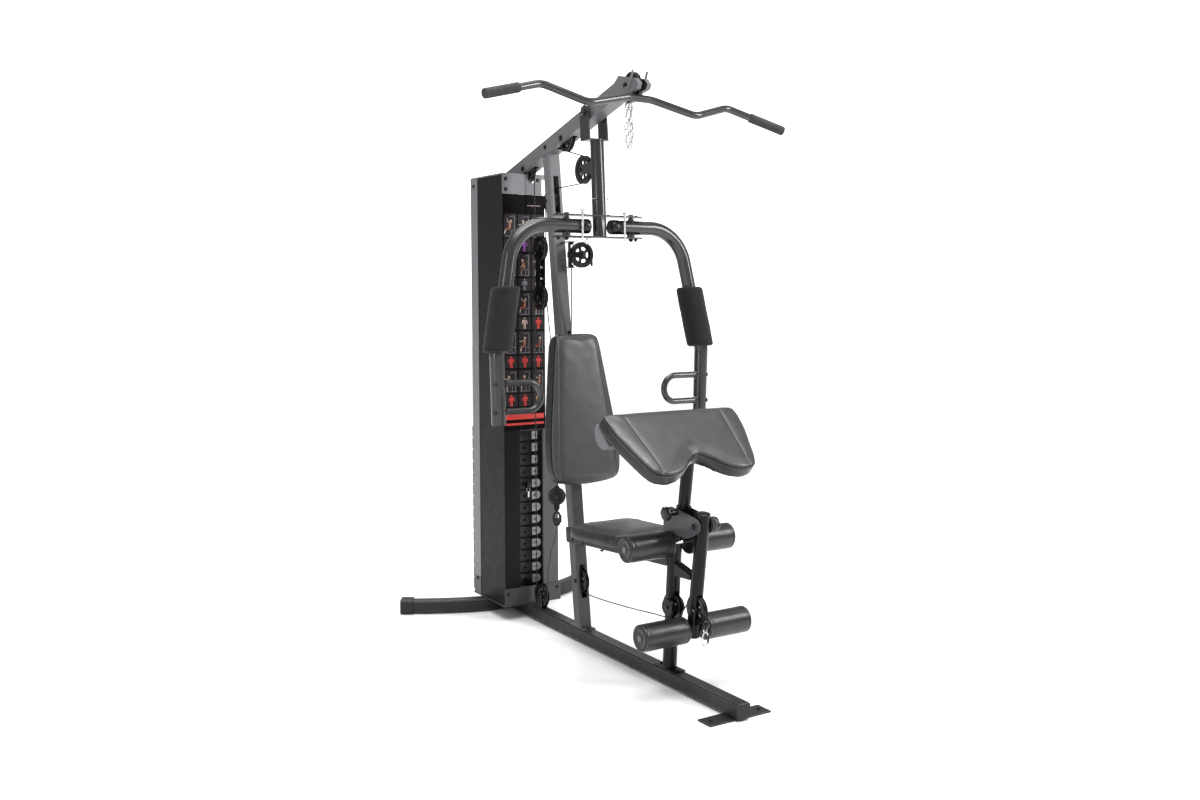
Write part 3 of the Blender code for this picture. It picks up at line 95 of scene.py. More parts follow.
# cushions: half outlines as (across, down from the upper edge)
EVENING_ROUNDS = 16      # times the stuffing movement of a cushion is averaged with its neighbours
SMOOTHING_LOSS = 0.0012
VOXEL = 0.0055
VINYL_BENDING, VINYL_TENSION = 6.0, 40.0
BACK_HALF = [(0.0, 0.0), (0.055, 0.000), (0.083, 0.006), (0.098, 0.026), (0.108, 0.090), (0.126, 0.220),
             (0.144, 0.345), (0.152, 0.430), (0.152, 0.490), (0.143, 0.527), (0.118, 0.549), (0.060, 0.557),
             (0.0, 0.559)]
BACK_TOP, BACK_DOWN = Vector((0, 0.192, 1.152)), Vector((0, -0.151, -1))
UPRIGHT_FOOT_Y, UPRIGHT_LEAN = 0.0954, 0.1298
SEAT_HALF = [(0.0, 0.0), (0.105, 0.002), (0.132, 0.012), (0.142, 0.040), (0.138, 0.150), (0.130, 0.280),
             (0.120, 0.306), (0.095, 0.318), (0.0, 0.322)]
SEAT_REAR_Y, SEAT_SLOPE = -0.012, 0.055
CURL_HALF = [(0.0, -0.009), (0.250, -0.006), (0.268, 0.010), (0.262, 0.090), (0.245, 0.140), (0.228, 0.195),
             (0.212, 0.240), (0.198, 0.263), (0.170, 0.276), (0.140, 0.278), (0.105, 0.270), (0.070, 0.250),
             (0.045, 0.225), (0.018, 0.205), (0.0, 0.200)]
CURL = math.radians(38.5)
CURL_TOP, CURL_THICK = (-0.4527, 0.9287), 0.056

# rollers and foam sleeves: distances along their axis, from the machine's middle or the arm's corner
UPPER_ROLLERS, LOWER_ROLLERS = (-0.500, 0.492), (-0.588, 0.225)
ROLLER_INNER, ROLLER_OUTER, ROLLER_RADIUS = 0.036, 0.2095, 0.0438
ROLLER_EASE, ROLLER_END_EASE = 0.006, 0.0055
ROLLER_GROOVES, ROLLER_RINGS = (0.050, 0.196), 44
SLEEVE_START, SLEEVE_STOP, SLEEVE_RADIUS, SLEEVE_EASE = 0.219, 0.443, 0.0502, 0.011

# arms: (x, z) of the corners, and how far the hanging part is forward of the shoulder
ARM_START_X, ARM_SHOULDER_X = 0.046, 0.343
ARM_ELBOW, ARM_FOOT, ARM_FORWARD = (0.430, 1.100), (0.424, 0.862), 0.036
TUBE_WALL = 0.0025
LOOP_X, LOOP_Z, LOOP_BEND, LOOP_RADIUS = (0.410, 0.2605), (1.002, 0.905), 0.0484, 0.0115
CARRIER_TOP, CARRIER_FOOT = 1.5832, 1.5028
PRESS_PIVOT, LANYARD_Z = (0.027, 1.942), 1.640
GRIP_LENGTH = 0.140
GRIP_COLLAR = [(0.001, 0.0122), (0.0, 0.0140), (0.0015, 0.0162), (0.0050, 0.0166), (0.0065, 0.0155)]
GRIP_END = [(0.0075, 0.0155), (0.0060, 0.0163), (0.0020, 0.0158), (0.0003, 0.0135), (0.0, 0.0090)]
WHEEL_HALF, RIM_DEPTH, WEB_HALF = 0.0085, 0.0125, 0.0028
SPOKE_STEPS = 12         # points from one wheel window to the next
HOOK_WHEEL_RADIUS, STRAP_RADIUS = 0.034, 0.017
BOOM_BOLT_Z = 1.7        # wheels above this height have the larger bolts
PLATE_WIDTH, PLATE_CORNER = 0.232, 0.012
LABEL_X, LABEL_SIZE, LABEL_THICK, DIGIT_HEIGHT = 0.0465, (0.0250, 0.0330), 0.0005, 0.0150
ROD_X = 0.085
FLOOR_CABLE_SAG = [(-0.360, 0.2190), (-0.270, 0.2095), (-0.180, 0.2015), (-0.090, 0.1945), (0.0, 0.1895)]

BOARD_FRONT, BOARD_BOX = 0.4922, (-0.1235, 0.0600, 0.765, 1.6895)
TILE_PITCH = (0.0610, 0.1520)
# the line drawing behind each figure of the chart: (across, up, length, angle)
BENCH_LINES = [(0.0, -0.0400, 0.046, 0), (0.0185, -0.002, 0.076, 90), (0.008, 0.0365, 0.024, 8),
               (0.0100, -0.0180, 0.018, 0), (0.0040, -0.0290, 0.022, 90)]


# ---- camera, lights and studio ------------------------------------------------------------
CAMERA_PLACE, CAMERA_LENS = Vector((-2.183, -3.500, 1.312)), 34.329
CAMERA_YAW, CAMERA_PITCH = math.radians(32.08), math.radians(5.40)
WORLD_STRENGTH = 0.36
FLOOR_RADIUS = 30.0
BACKDROP = [(-0.5, 24.0), (6.0, 24.0), (12.0, 21.5), (17.0, 16.0), (20.0, 8.0), (21.0, 1.0)]
# kind, name, place, aim, energy, size (an area's two sides, or the sun's angle in degrees)
LAMPS = [("AREA", "key softbox", (2.6, -2.6, 2.7), (0, 0, 1.0), 75, (0.7, 1.8)),
         ("AREA", "left strip", (-3.2, -0.9, 1.9), (0, 0, 1.1), 22, (0.25, 2.2)),
         ("AREA", "overhead softbox", (-0.3, -1.5, 3.9), (0, -0.2, 1.0), 42, (1.8, 1.0)),
         ("AREA", "rear softbox", (1.4, 3.4, 2.8), (0, 0.2, 1.1), 40, (1.2, 1.2)),
         ("SUN", "floor light", (0, 0, 6), (0, 0, 0), 3.0, 60)]


# ---- materials ----------------------------------------------------------------------------
GLOSS_SCALE = 31.0       # blotches of uneven gloss, per metre


def surface(name, colour, roughness, metallic=0.0, tint=0.12, spread=0.07, bumps=(), mottle=9.0, region=None,
            **sockets):
    """Principled material: mottled colour, uneven roughness, and bump layers (kind, scale, depth).

    `region` is (colour, x, z, fade): the paint further out than x and higher than z, and how
    softly it starts.
    """
    mat = bpy.data.materials.new(name)
    mat.use_nodes = True
    nodes, links = mat.node_tree.nodes, mat.node_tree.links
    shader = nodes["Principled BSDF"]
    shader.inputs["Metallic"].default_value = metallic
    for socket, value in sockets.items():
        shader.inputs[socket.replace("_", " ")].default_value = value
    coord = nodes.new("ShaderNodeTexCoord").outputs["Object"]

    def noise_at(scale, detail, rough=0.55):
        node = nodes.new("ShaderNodeTexNoise")
        node.inputs["Scale"].default_value = scale
        node.inputs["Detail"].default_value = detail
        node.inputs["Roughness"].default_value = rough
        links.new(coord, node.inputs["Vector"])
        return node.outputs["Fac"]

    ramp = nodes.new("ShaderNodeValToRGB")
    ramp.color_ramp.elements[0].position, ramp.color_ramp.elements[1].position = 0.30, 0.72
    ramp.color_ramp.elements[0].color = (*[c * (1 - tint) for c in colour], 1)
    ramp.color_ramp.elements[1].color = (*[c * (1 + tint) for c in colour], 1)
    links.new(noise_at(mottle, 4), ramp.inputs["Fac"])
    links.new(ramp.outputs["Color"], shader.inputs["Base Color"])
    if region:
        other, least_x, least_z, fade = region
        axes = nodes.new("ShaderNodeSeparateXYZ")
        links.new(coord, axes.inputs["Vector"])
        outward = nodes.new("ShaderNodeMath")
        outward.operation = "ABSOLUTE"
        links.new(axes.outputs["X"], outward.inputs[0])
        tests = []
        for socket, least in ((outward.outputs[0], least_x), (axes.outputs["Z"], least_z)):
            test = nodes.new("ShaderNodeMapRange")
            test.inputs["From Min"].default_value = least - fade
            test.inputs["From Max"].default_value = least + fade
            links.new(socket, test.inputs["Value"])
            tests.append(test.outputs["Result"])
        both = nodes.new("ShaderNodeMath")
        both.operation = "MULTIPLY"
        links.new(tests[0], both.inputs[0])
        links.new(tests[1], both.inputs[1])
        mix = nodes.new("ShaderNodeMix")
        mix.data_type = "RGBA"
        links.new(both.outputs[0], mix.inputs["Factor"])
        links.new(ramp.outputs["Color"], mix.inputs[6])
        mix.inputs[7].default_value = (*other, 1)
        links.new(mix.outputs[2], shader.inputs["Base Color"])
    gloss = nodes.new("ShaderNodeMapRange")
    for socket, value in zip(("From Min", "From Max", "To Min", "To Max"),
                             (0.3, 0.7, roughness - spread, roughness + spread)):
        gloss.inputs[socket].default_value = value
    links.new(noise_at(GLOSS_SCALE, 6, 0.65), gloss.inputs["Value"])
    links.new(gloss.outputs["Result"], shader.inputs["Roughness"])
    normal = None
    for kind, scale, depth in bumps:
        if kind == "cells":
            tex = nodes.new("ShaderNodeTexVoronoi")
            tex.inputs["Scale"].default_value = scale
            links.new(coord, tex.inputs["Vector"])
            height = tex.outputs["Distance"]
        else:
            height = noise_at(scale, 2)
        bump = nodes.new("ShaderNodeBump")
        bump.inputs["Distance"].default_value = depth
        links.new(height, bump.inputs["Height"])
        if normal:
            links.new(normal, bump.inputs["Normal"])
        normal = bump.outputs["Normal"]
    if normal:
        links.new(normal, shader.inputs["Normal"])
    return mat


POWDER = (("grain", 900.0, 0.00003), ("grain", 240.0, 0.00004))
FLECK = (("grain", 800.0, 0.00003),)
FOAM_CELLS = (("cells", 520.0, 0.0003), ("grain", 90.0, 0.0005))
LEATHER = (("cells", 430.0, 0.00008), ("grain", 60.0, 0.0002))
EASED = {"tint": 0.22, "mottle": 60.0, "metallic": 0.35}
SATIN = {"Coat_Weight": 0.08, "Coat_Roughness": 0.35}
SHARP = 0.0005           # fade of a paint's edge that is masked, in metres
frame_grey = surface("grey satin paint", (0.145, 0.144, 0.154), 0.40, 0.20, tint=0.08, bumps=POWDER,
                     Coat_Weight=0.12, Coat_Roughness=0.35)
column_paint = surface("grey and charcoal column paint", (0.052, 0.0515, 0.056), 0.40, 0.10, tint=0.08,
                       bumps=POWDER, region=((0.170, 0.168, 0.180), -1.0, 0.135, SHARP), **SATIN)
frame_edge = surface("grey satin paint edge", (0.235, 0.232, 0.245), 0.36, **EASED)
charcoal = surface("charcoal paint", (0.023, 0.0228, 0.0250), 0.42, 0.05, bumps=POWDER, Coat_Weight=0.04,
                   Coat_Roughness=0.35, Specular_IOR_Level=0.20)
# painted shade: the upright is charcoal below about 1.46 m and has the grey frame paint above, the change
# softened over 0.12 m
painted_shade_upright = surface("grey upright paint, painted shade below", (0.048, 0.0475, 0.0510), 0.40, 0.15, tint=0.08,
                        bumps=POWDER, region=((0.145, 0.144, 0.154), -1.0, 1.46, 0.12), **SATIN)
guard_paint = surface("dark grey guard paint", (0.072, 0.0715, 0.0770), 0.40, 0.15, tint=0.08,
                      bumps=POWDER, **SATIN)
charcoal_edge = surface("charcoal paint edge", (0.085, 0.084, 0.090), 0.38, **EASED)
black = surface("black gloss paint", (0.0040, 0.0040, 0.0043), 0.24, 0.0, bumps=POWDER, Coat_Weight=0.06,
                Coat_Roughness=0.15, Specular_IOR_Level=0.16)
bracket = surface("black and grey bracket paint", (0.0060, 0.0060, 0.0064), 0.28, 0.0, bumps=POWDER,
                  region=((0.080, 0.079, 0.086), 0.0257, 0.515, SHARP), Coat_Weight=0.06, Coat_Roughness=0.2,
                  Specular_IOR_Level=0.16)
post_paint = surface("black and grey post paint", (0.0060, 0.0060, 0.0064), 0.26, 0.0, bumps=POWDER,
                     region=((0.150, 0.148, 0.165), 0.060, 0.700, SHARP), Coat_Weight=0.06,
                     Coat_Roughness=0.2, Specular_IOR_Level=0.14)
black_edge = surface("black gloss paint edge", (0.028, 0.028, 0.030), 0.26, **EASED)
shroud = surface("shroud paint", (0.0080, 0.0083, 0.0100), 0.44, 0.0, bumps=POWDER, mottle=3.0,
                 Specular_IOR_Level=0.12)
shroud_edge = surface("shroud paint edge", (0.035, 0.036, 0.042), 0.34, **EASED)
gunmetal = surface("gunmetal paint", (0.046, 0.046, 0.048), 0.26, 0.60, tint=0.05, spread=0.02,
                   mottle=14.0, Coat_Weight=0.40, Coat_Roughness=0.20)
gunmetal_edge = surface("gunmetal paint edge", (0.14, 0.14, 0.145), 0.26, **EASED)
chrome = surface("bright steel", (0.55, 0.55, 0.57), 0.16, 1.0, tint=0.06, spread=0.06,
                 bumps=(("grain", 400.0, 0.00002),))
zinc = surface("zinc plate", (0.62, 0.63, 0.65), 0.32, 1.0, tint=0.18, spread=0.10, mottle=70.0,
               bumps=(("grain", 500.0, 0.00003),))
bolt_black = surface("black oxide steel", (0.012, 0.012, 0.0125), 0.30, 0.10, bumps=FLECK,
                     Specular_IOR_Level=0.35)
plastic = surface("moulded plastic", (0.0065, 0.0065, 0.0068), 0.26, 0.0, bumps=(("cells", 850.0, 0.00003),),
                  Specular_IOR_Level=0.35)
rubber = surface("ribbed rubber", (0.022, 0.022, 0.0225), 0.62, 0.0, bumps=(("cells", 600.0, 0.00012),))
foam = surface("foam skin", (0.0085, 0.0085, 0.0087), 0.85, 0.0, tint=0.18, mottle=25.0,
               bumps=FOAM_CELLS, Sheen_Weight=0.08, Sheen_Roughness=0.5, Specular_IOR_Level=0.3)
vinyl = surface("grained vinyl", (0.036, 0.036, 0.0355), 0.38, 0.0, tint=0.08, mottle=6.0,
                bumps=LEATHER, Coat_Weight=0.30, Coat_Roughness=0.34)
# painted shade: a darker copy of the grained vinyl for the cushions' side walls and their piping
painted_shade_side_vinyl = surface("side vinyl darkened as painted shade", (0.012, 0.012, 0.012), 0.34, 0.0, tint=0.12, mottle=6.0,
                     bumps=(("cells", 430.0, 0.00010), ("grain", 60.0, 0.0003)), Coat_Weight=0.1,
                     Coat_Roughness=0.24, Specular_IOR_Level=0.4)
roller_vinyl = surface("smooth roller vinyl", (0.0105, 0.0105, 0.0105), 0.36, 0.0, tint=0.12, mottle=12.0,
                       bumps=(("cells", 500.0, 0.00007), ("grain", 45.0, 0.00022)), Coat_Weight=0.20,
                       Coat_Roughness=0.30, Specular_IOR_Level=0.50)
thread = surface("stitching thread", (0.085, 0.085, 0.085), 0.70, 0.0, bumps=(("grain", 1500.0, 0.0002),))
plate_shell = surface("weight plate shell", (0.019, 0.019, 0.0205), 0.50, 0.0, tint=0.15,
                      bumps=(("cells", 300.0, 0.00015), ("grain", 30.0, 0.0003)))
cable_mat = surface("cable sheath", (0.010, 0.010, 0.010), 0.30, 0.0, bumps=(("grain", 300.0, 0.00005),))
board = surface("printed board", (0.0055, 0.0045, 0.0048), 0.30, 0.0, tint=0.2, mottle=14.0,
                Specular_IOR_Level=0.05)
tile = surface("print dark grey", (0.024, 0.020, 0.021), 0.34, 0.0, tint=0.45, mottle=90.0,
               Specular_IOR_Level=0.2)
print_pale = surface("print pale", (0.40, 0.30, 0.26), 0.38, 0.0, tint=0.35, mottle=60.0)
print_warm = surface("print warm", (0.36, 0.15, 0.085), 0.38, 0.0, tint=0.40, mottle=60.0)
print_red = surface("print red", (0.60, 0.040, 0.034), 0.36, 0.0, tint=0.15, mottle=40.0)
print_blue = surface("print slate", (0.15, 0.16, 0.19), 0.38, 0.0, tint=0.4, mottle=60.0)
print_violet = surface("print violet", (0.26, 0.09, 0.36), 0.38, 0.0, tint=0.35, mottle=60.0)
print_gold = surface("print gold", (0.42, 0.24, 0.07), 0.38, 0.0, tint=0.3, mottle=60.0)
label_white = surface("label white", (0.90, 0.90, 0.89), 0.42, 0.0, tint=0.04)
plug_grey = surface("grey plug", (0.11, 0.11, 0.115), 0.42, 0.0, bumps=(("cells", 800.0, 0.00004),))


# ---- mesh tools ---------------------------------------------------------------------------
def frame_of(axis):
    """Two directions square to an axis."""
    axis = Vector(axis).normalized()
    across = UP.cross(axis).normalized() if abs(axis.z) < 0.9 else SIDE.copy()
    return axis, across, axis.cross(across)


def turns(count):
    """Angles once round."""
    return [2 * math.pi * k / count for k in range(count)]


def sweep(span, count):
    """Angles from zero to `span`, both ends with them."""
    return [span * k / count for k in range(count + 1)]


def hoop(centre, across, up, wide, high, count):
    """Points of a ring; `wide` and `high` are half its size across and up."""
    return [centre + across * (wide * math.sin(a)) + up * (high * math.cos(a)) for a in turns(count)]


def round_out(start, radius, ease, count):
    """(along, radius) points of a roll's round shoulder, rising from `start`."""
    return [(start + ease * (1 - math.cos(a)), radius - ease + ease * math.sin(a))
            for a in sweep(QUARTER, count)]


def round_in(stop, radius, ease, count):
    """(along, radius) points of a roll's round shoulder, falling to `stop`."""
    return [(stop - ease + ease * math.sin(a), radius - ease + ease * math.cos(a))
            for a in sweep(QUARTER, count)]


def circle(radius, sides):
    """A circle's points in the section plane."""
    step = 2 * math.pi / sides
    return [(radius * math.cos((i + 0.5) * step), radius * math.sin((i + 0.5) * step)) for i in range(sides)]


def rounded(width, height, radius, steps=4):
    """A rectangle with round corners in the section plane."""
    points = []
    for sx, sy, start in ((1, 1, 0), (-1, 1, 90), (-1, -1, 180), (1, -1, 270)):
        for i in range(steps + 1):
            a = math.radians(start + 90 * i / steps)
            points.append((sx * (width / 2 - radius) + radius * math.cos(a),
                           sy * (height / 2 - radius) + radius * math.sin(a)))
    return points


def bend(points, radii, steps=10):
    """A path through the points, each inner corner rounded to its radius."""
    points = [Vector(p) for p in points]
    path = [points[0]]
    for i, radius in enumerate(radii, start=1):
        before = (points[i - 1] - points[i]).normalized()
        after = (points[i + 1] - points[i]).normalized()
        half = before.angle(after) / 2
        reach = radius / math.tan(half)
        centre = points[i] + (before + after).normalized() * radius / math.sin(half)
        start = points[i] + before * reach - centre
        stop = points[i] + after * reach - centre
        axis = start.cross(stop).normalized()
        for k in range(steps + 1):
            path.append(centre + Matrix.Rotation(start.angle(stop) * k / steps, 3, axis) @ start)
    return path + [points[-1]]


def spaced(path, gap):
    """The same path with points at most `gap` apart."""
    path = [Vector(p) for p in path]
    result = [path[0]]
    for a, b in zip(path, path[1:]):
        count = max(1, math.ceil((b - a).length / gap))
        result += [a.lerp(b, (i + 1) / count) for i in range(count)]
    return result


class Shape:
    """Closed shells gathered into one piece; `ink` is the material that new faces take."""

    def __init__(self, *inks):
        self.inks = list(inks)
        self.verts, self.faces, self.slots = [], [], []

    def shell(self, verts, faces, ink=None):
        """Add points and the faces between them."""
        base = len(self.verts)
        self.verts += [tuple(v) for v in verts]
        self.faces += [tuple(base + i for i in f) for f in faces]
        ink = ink or self.inks[0]
        if ink not in self.inks:
            self.inks.append(ink)
        self.slots += [self.inks.index(ink)] * len(faces)
        return self

    def skin(self, rings, ink=None, closed=False):
        """Join equal rings; capped at both ends, or closed into a ring of rings."""
        n = len(rings[0])
        verts = [p for ring in rings for p in ring]
        faces = []
        for i in range(len(rings) if closed else len(rings) - 1):
            a, b = i * n, (i + 1) % len(rings) * n
            faces += [(a + j, a + (j + 1) % n, b + (j + 1) % n, b + j) for j in range(n)]
        if not closed:
            faces += [tuple(range(n)), tuple(range(len(verts) - n, len(verts)))]
        return self.shell(verts, faces, ink)

    def lathe(self, profile, centre, axis, sides=32, ink=None, bored=False):
        """Turn (along, radius) points about an axis."""
        axis, across, along = frame_of(axis)
        centre = Vector(centre)
        rings = [[centre + axis * h + across * u + along * v for u, v in circle(max(r, 1e-4), sides)]
                 for h, r in profile]
        return self.skin(rings, ink, closed=bored)

    def tube(self, path, radius, sides=20, ink=None, loop=False, inner=None):
        """Round bar along a path without twist; `inner` is a tube's bore, `loop` closes the path."""
        path = [Vector(p) for p in path]
        n = len(path)
        normal, rings, bores = None, [], []
        radii = radius if isinstance(radius, (list, tuple)) else [radius] * n
        for i, point in enumerate(path):
            a = path[i - 1] if loop or i else point
            b = path[(i + 1) % n] if loop else path[min(i + 1, n - 1)]
            tangent = (b - a).normalized()
            if normal is None:
                normal = SIDE.copy() if abs(tangent.x) < 0.9 else UP.copy()
            normal = (normal - tangent * normal.dot(tangent)).normalized()
            side = tangent.cross(normal)
            rings.append([point + normal * u + side * v for u, v in circle(radii[i], sides)])
            if inner:
                bores.append([point + normal * u + side * v for u, v in circle(inner, sides)])
        return self.skin(rings + bores[::-1], ink, closed=loop or bool(inner))

    def slab(self, outline, origin, across, along, low, high, ink=None, soft=0.0):
        """A flat plate over an outline, its edges eased by `soft`."""
        origin, across, along = Vector(origin), Vector(across), Vector(along)
        out = across.cross(along).normalized()
        cu = sum(u for u, v in outline) / len(outline)
        cv = sum(v for u, v in outline) / len(outline)
        levels = [(low, 0), (high, 0)]
        if soft:
            levels = [(low, soft), (low + soft, 0), (high - soft, 0), (high, soft)]
        rings = []
        for h, shrink in levels:
            ring = []
            for u, v in outline:
                f = 1 - shrink / max(math.hypot(u - cu, v - cv), 1e-6)
                ring.append(origin + across * (cu + (u - cu) * f) + along * (cv + (v - cv) * f) + out * h)
            rings.append(ring)
        return self.skin(rings, ink)

    def bolt(self, at, axis, size=0.0070, ink=None, nut=False):
        """Washer and hexagon head, or a nut with the bolt's end standing out of it."""
        ink = ink or bolt_black
        at = Vector(at)
        self.lathe([(0, size * 1.35), (0.0010, size * 1.35), (0.0013, size * 1.25)], at, axis, 20, ink)
        top = 0.0013 + size * (0.85 if nut else 0.62)
        wide = size * 1.04
        self.lathe([(0.0010, size * 0.98), (0.0016, wide), (top - 0.0008, wide), (top, size * 0.88)],
                   at, axis, 6, ink)
        if nut:
            self.lathe([(top - 0.001, size * 0.52), (top + 0.0025, size * 0.52), (top + 0.0032, size * 0.42)],
                       at, axis, 14, ink)
        return self

    def build(self, name, body, slot, replaces=(), sharp=38):
        """Make the object, with outward faces, riding on its body."""
        mesh = bpy.data.meshes.new(name)
        mesh.from_pydata(self.verts, [], self.faces)
        for ink in self.inks:
            mesh.materials.append(ink)
        mesh.polygons.foreach_set("material_index", self.slots)
        tidy = bmesh.new()
        tidy.from_mesh(mesh)
        bmesh.ops.recalc_face_normals(tidy, faces=tidy.faces)
        tidy.to_mesh(mesh)
        tidy.free()
        mesh.shade_smooth()
        mesh.set_sharp_from_angle(angle=math.radians(sharp))
        obj = bpy.data.objects.new(name, mesh)
        bpy.context.scene.collection.objects.link(obj)
        return settle(obj, body, replaces)


def settle(obj, body, replaces=()):
    """Hand a piece to the frame: its body and the nodes that it stands for."""
    if body:
        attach(obj, body)
    if replaces:
        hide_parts(*replaces)
    return obj


# ---- camera, light and floor --------------------------------------------------------------
def set_up_view():
    """The camera, soft studio lights and a plain pale floor."""
    yaw, pitch = CAMERA_YAW, CAMERA_PITCH
    ahead = Vector((math.sin(yaw) * math.cos(pitch), math.cos(yaw) * math.cos(pitch), -math.sin(pitch)))
    right = Vector((math.cos(yaw), -math.sin(yaw), 0))
    top = right.cross(ahead)
    data = bpy.data.cameras.new("camera")
    data.sensor_width, data.lens = 36.0, CAMERA_LENS
    cam = bpy.data.objects.new("camera", data)
    matrix = Matrix((right, top, -ahead)).transposed().to_4x4()
    matrix.translation = CAMERA_PLACE
    cam.matrix_world = matrix
    bpy.context.scene.collection.objects.link(cam)
    bpy.context.scene.camera = cam

    world = bpy.data.worlds.new("studio")
    bpy.context.scene.world = world
    world.use_nodes = True
    world.node_tree.nodes["Background"].inputs["Color"].default_value = (1.0, 1.0, 1.0, 1)
    world.node_tree.nodes["Background"].inputs["Strength"].default_value = WORLD_STRENGTH
    bpy.context.scene.view_settings.view_transform = "Standard"

    def lamp(kind, name, place, aim, energy, size):
        light = bpy.data.lights.new(name, kind)
        light.energy = energy
        if kind == "AREA":
            light.shape = "RECTANGLE"
            light.size, light.size_y = size
        else:
            light.angle = math.radians(size)
        obj = bpy.data.objects.new(name, light)
        obj.location = place
        obj.rotation_euler = (Vector(aim) - Vector(place)).to_track_quat("-Z", "Y").to_euler()
        bpy.context.scene.collection.objects.link(obj)

    for details in LAMPS:
        lamp(*details)

    floor = Shape(surface("pale floor", (0.90, 0.90, 0.90), 0.80, 0.0, tint=0.005, mottle=1.2))
    floor.lathe([(-0.02, FLOOR_RADIUS), (0.0, FLOOR_RADIUS)], (0, 0, -0.0005), UP, 96)
    stage_piece("studio_floor", floor)
    wall = Shape(surface("white backdrop", (0.9, 0.9, 0.9), 0.9, 0.0, tint=0.005, mottle=0.5,
                         Emission_Color=(1, 1, 1, 1), Emission_Strength=1.02))
    wall.lathe(BACKDROP, (0, 0, 0), UP, 96)
    backdrop = stage_piece("studio_backdrop", wall)
    backdrop.visible_diffuse = backdrop.visible_glossy = backdrop.visible_shadow = False
    backdrop.visible_transmission = backdrop.visible_volume_scatter = False


def stage_piece(name, shape):
    """A part of the studio, which is not part of the object."""
    mesh = bpy.data.meshes.new(name)
    mesh.from_pydata(shape.verts, [], shape.faces)
    mesh.materials.append(shape.inks[0])
    obj = bpy.data.objects.new(name, mesh)
    bpy.context.scene.collection.objects.link(obj)
    return obj


# ---- carried-over frame nodes -------------------------------------------------------------
def dress(names, paint, edge=None, width=0.0):
    """Give frame nodes their finish, and ease their edges with a lighter, worn paint."""
    for name in names:
        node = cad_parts[name]
        node.data.materials.clear()
        node.data.materials.append(paint)
        if edge:
            node.data.materials.append(edge)
            weld = node.modifiers.new("weld", "WELD")
            weld.merge_threshold = 0.00002
            ease = node.modifiers.new("ease", "BEVEL")
            ease.width, ease.segments = width, 2
            ease.limit_method, ease.angle_limit = "ANGLE", math.radians(38)
            ease.material = 1
            node.modifiers.new("normals", "WEIGHTED_NORMAL")


# ---- pads ---------------------------------------------------------------------------------
def smooth_outline(half, rounds=2):
    """A closed outline from its right half, its corners cut twice."""
    points = half + [(-u, v) for u, v in reversed(half) if u > 1e-6]
    for _ in range(rounds):
        cut = []
        for (u0, v0), (u1, v1) in zip(points, points[1:] + points[:1]):
            cut += [(near * u0 + (1 - near) * u1, near * v0 + (1 - near) * v1) for near in (0.75, 0.25)]
        points = cut
    return points


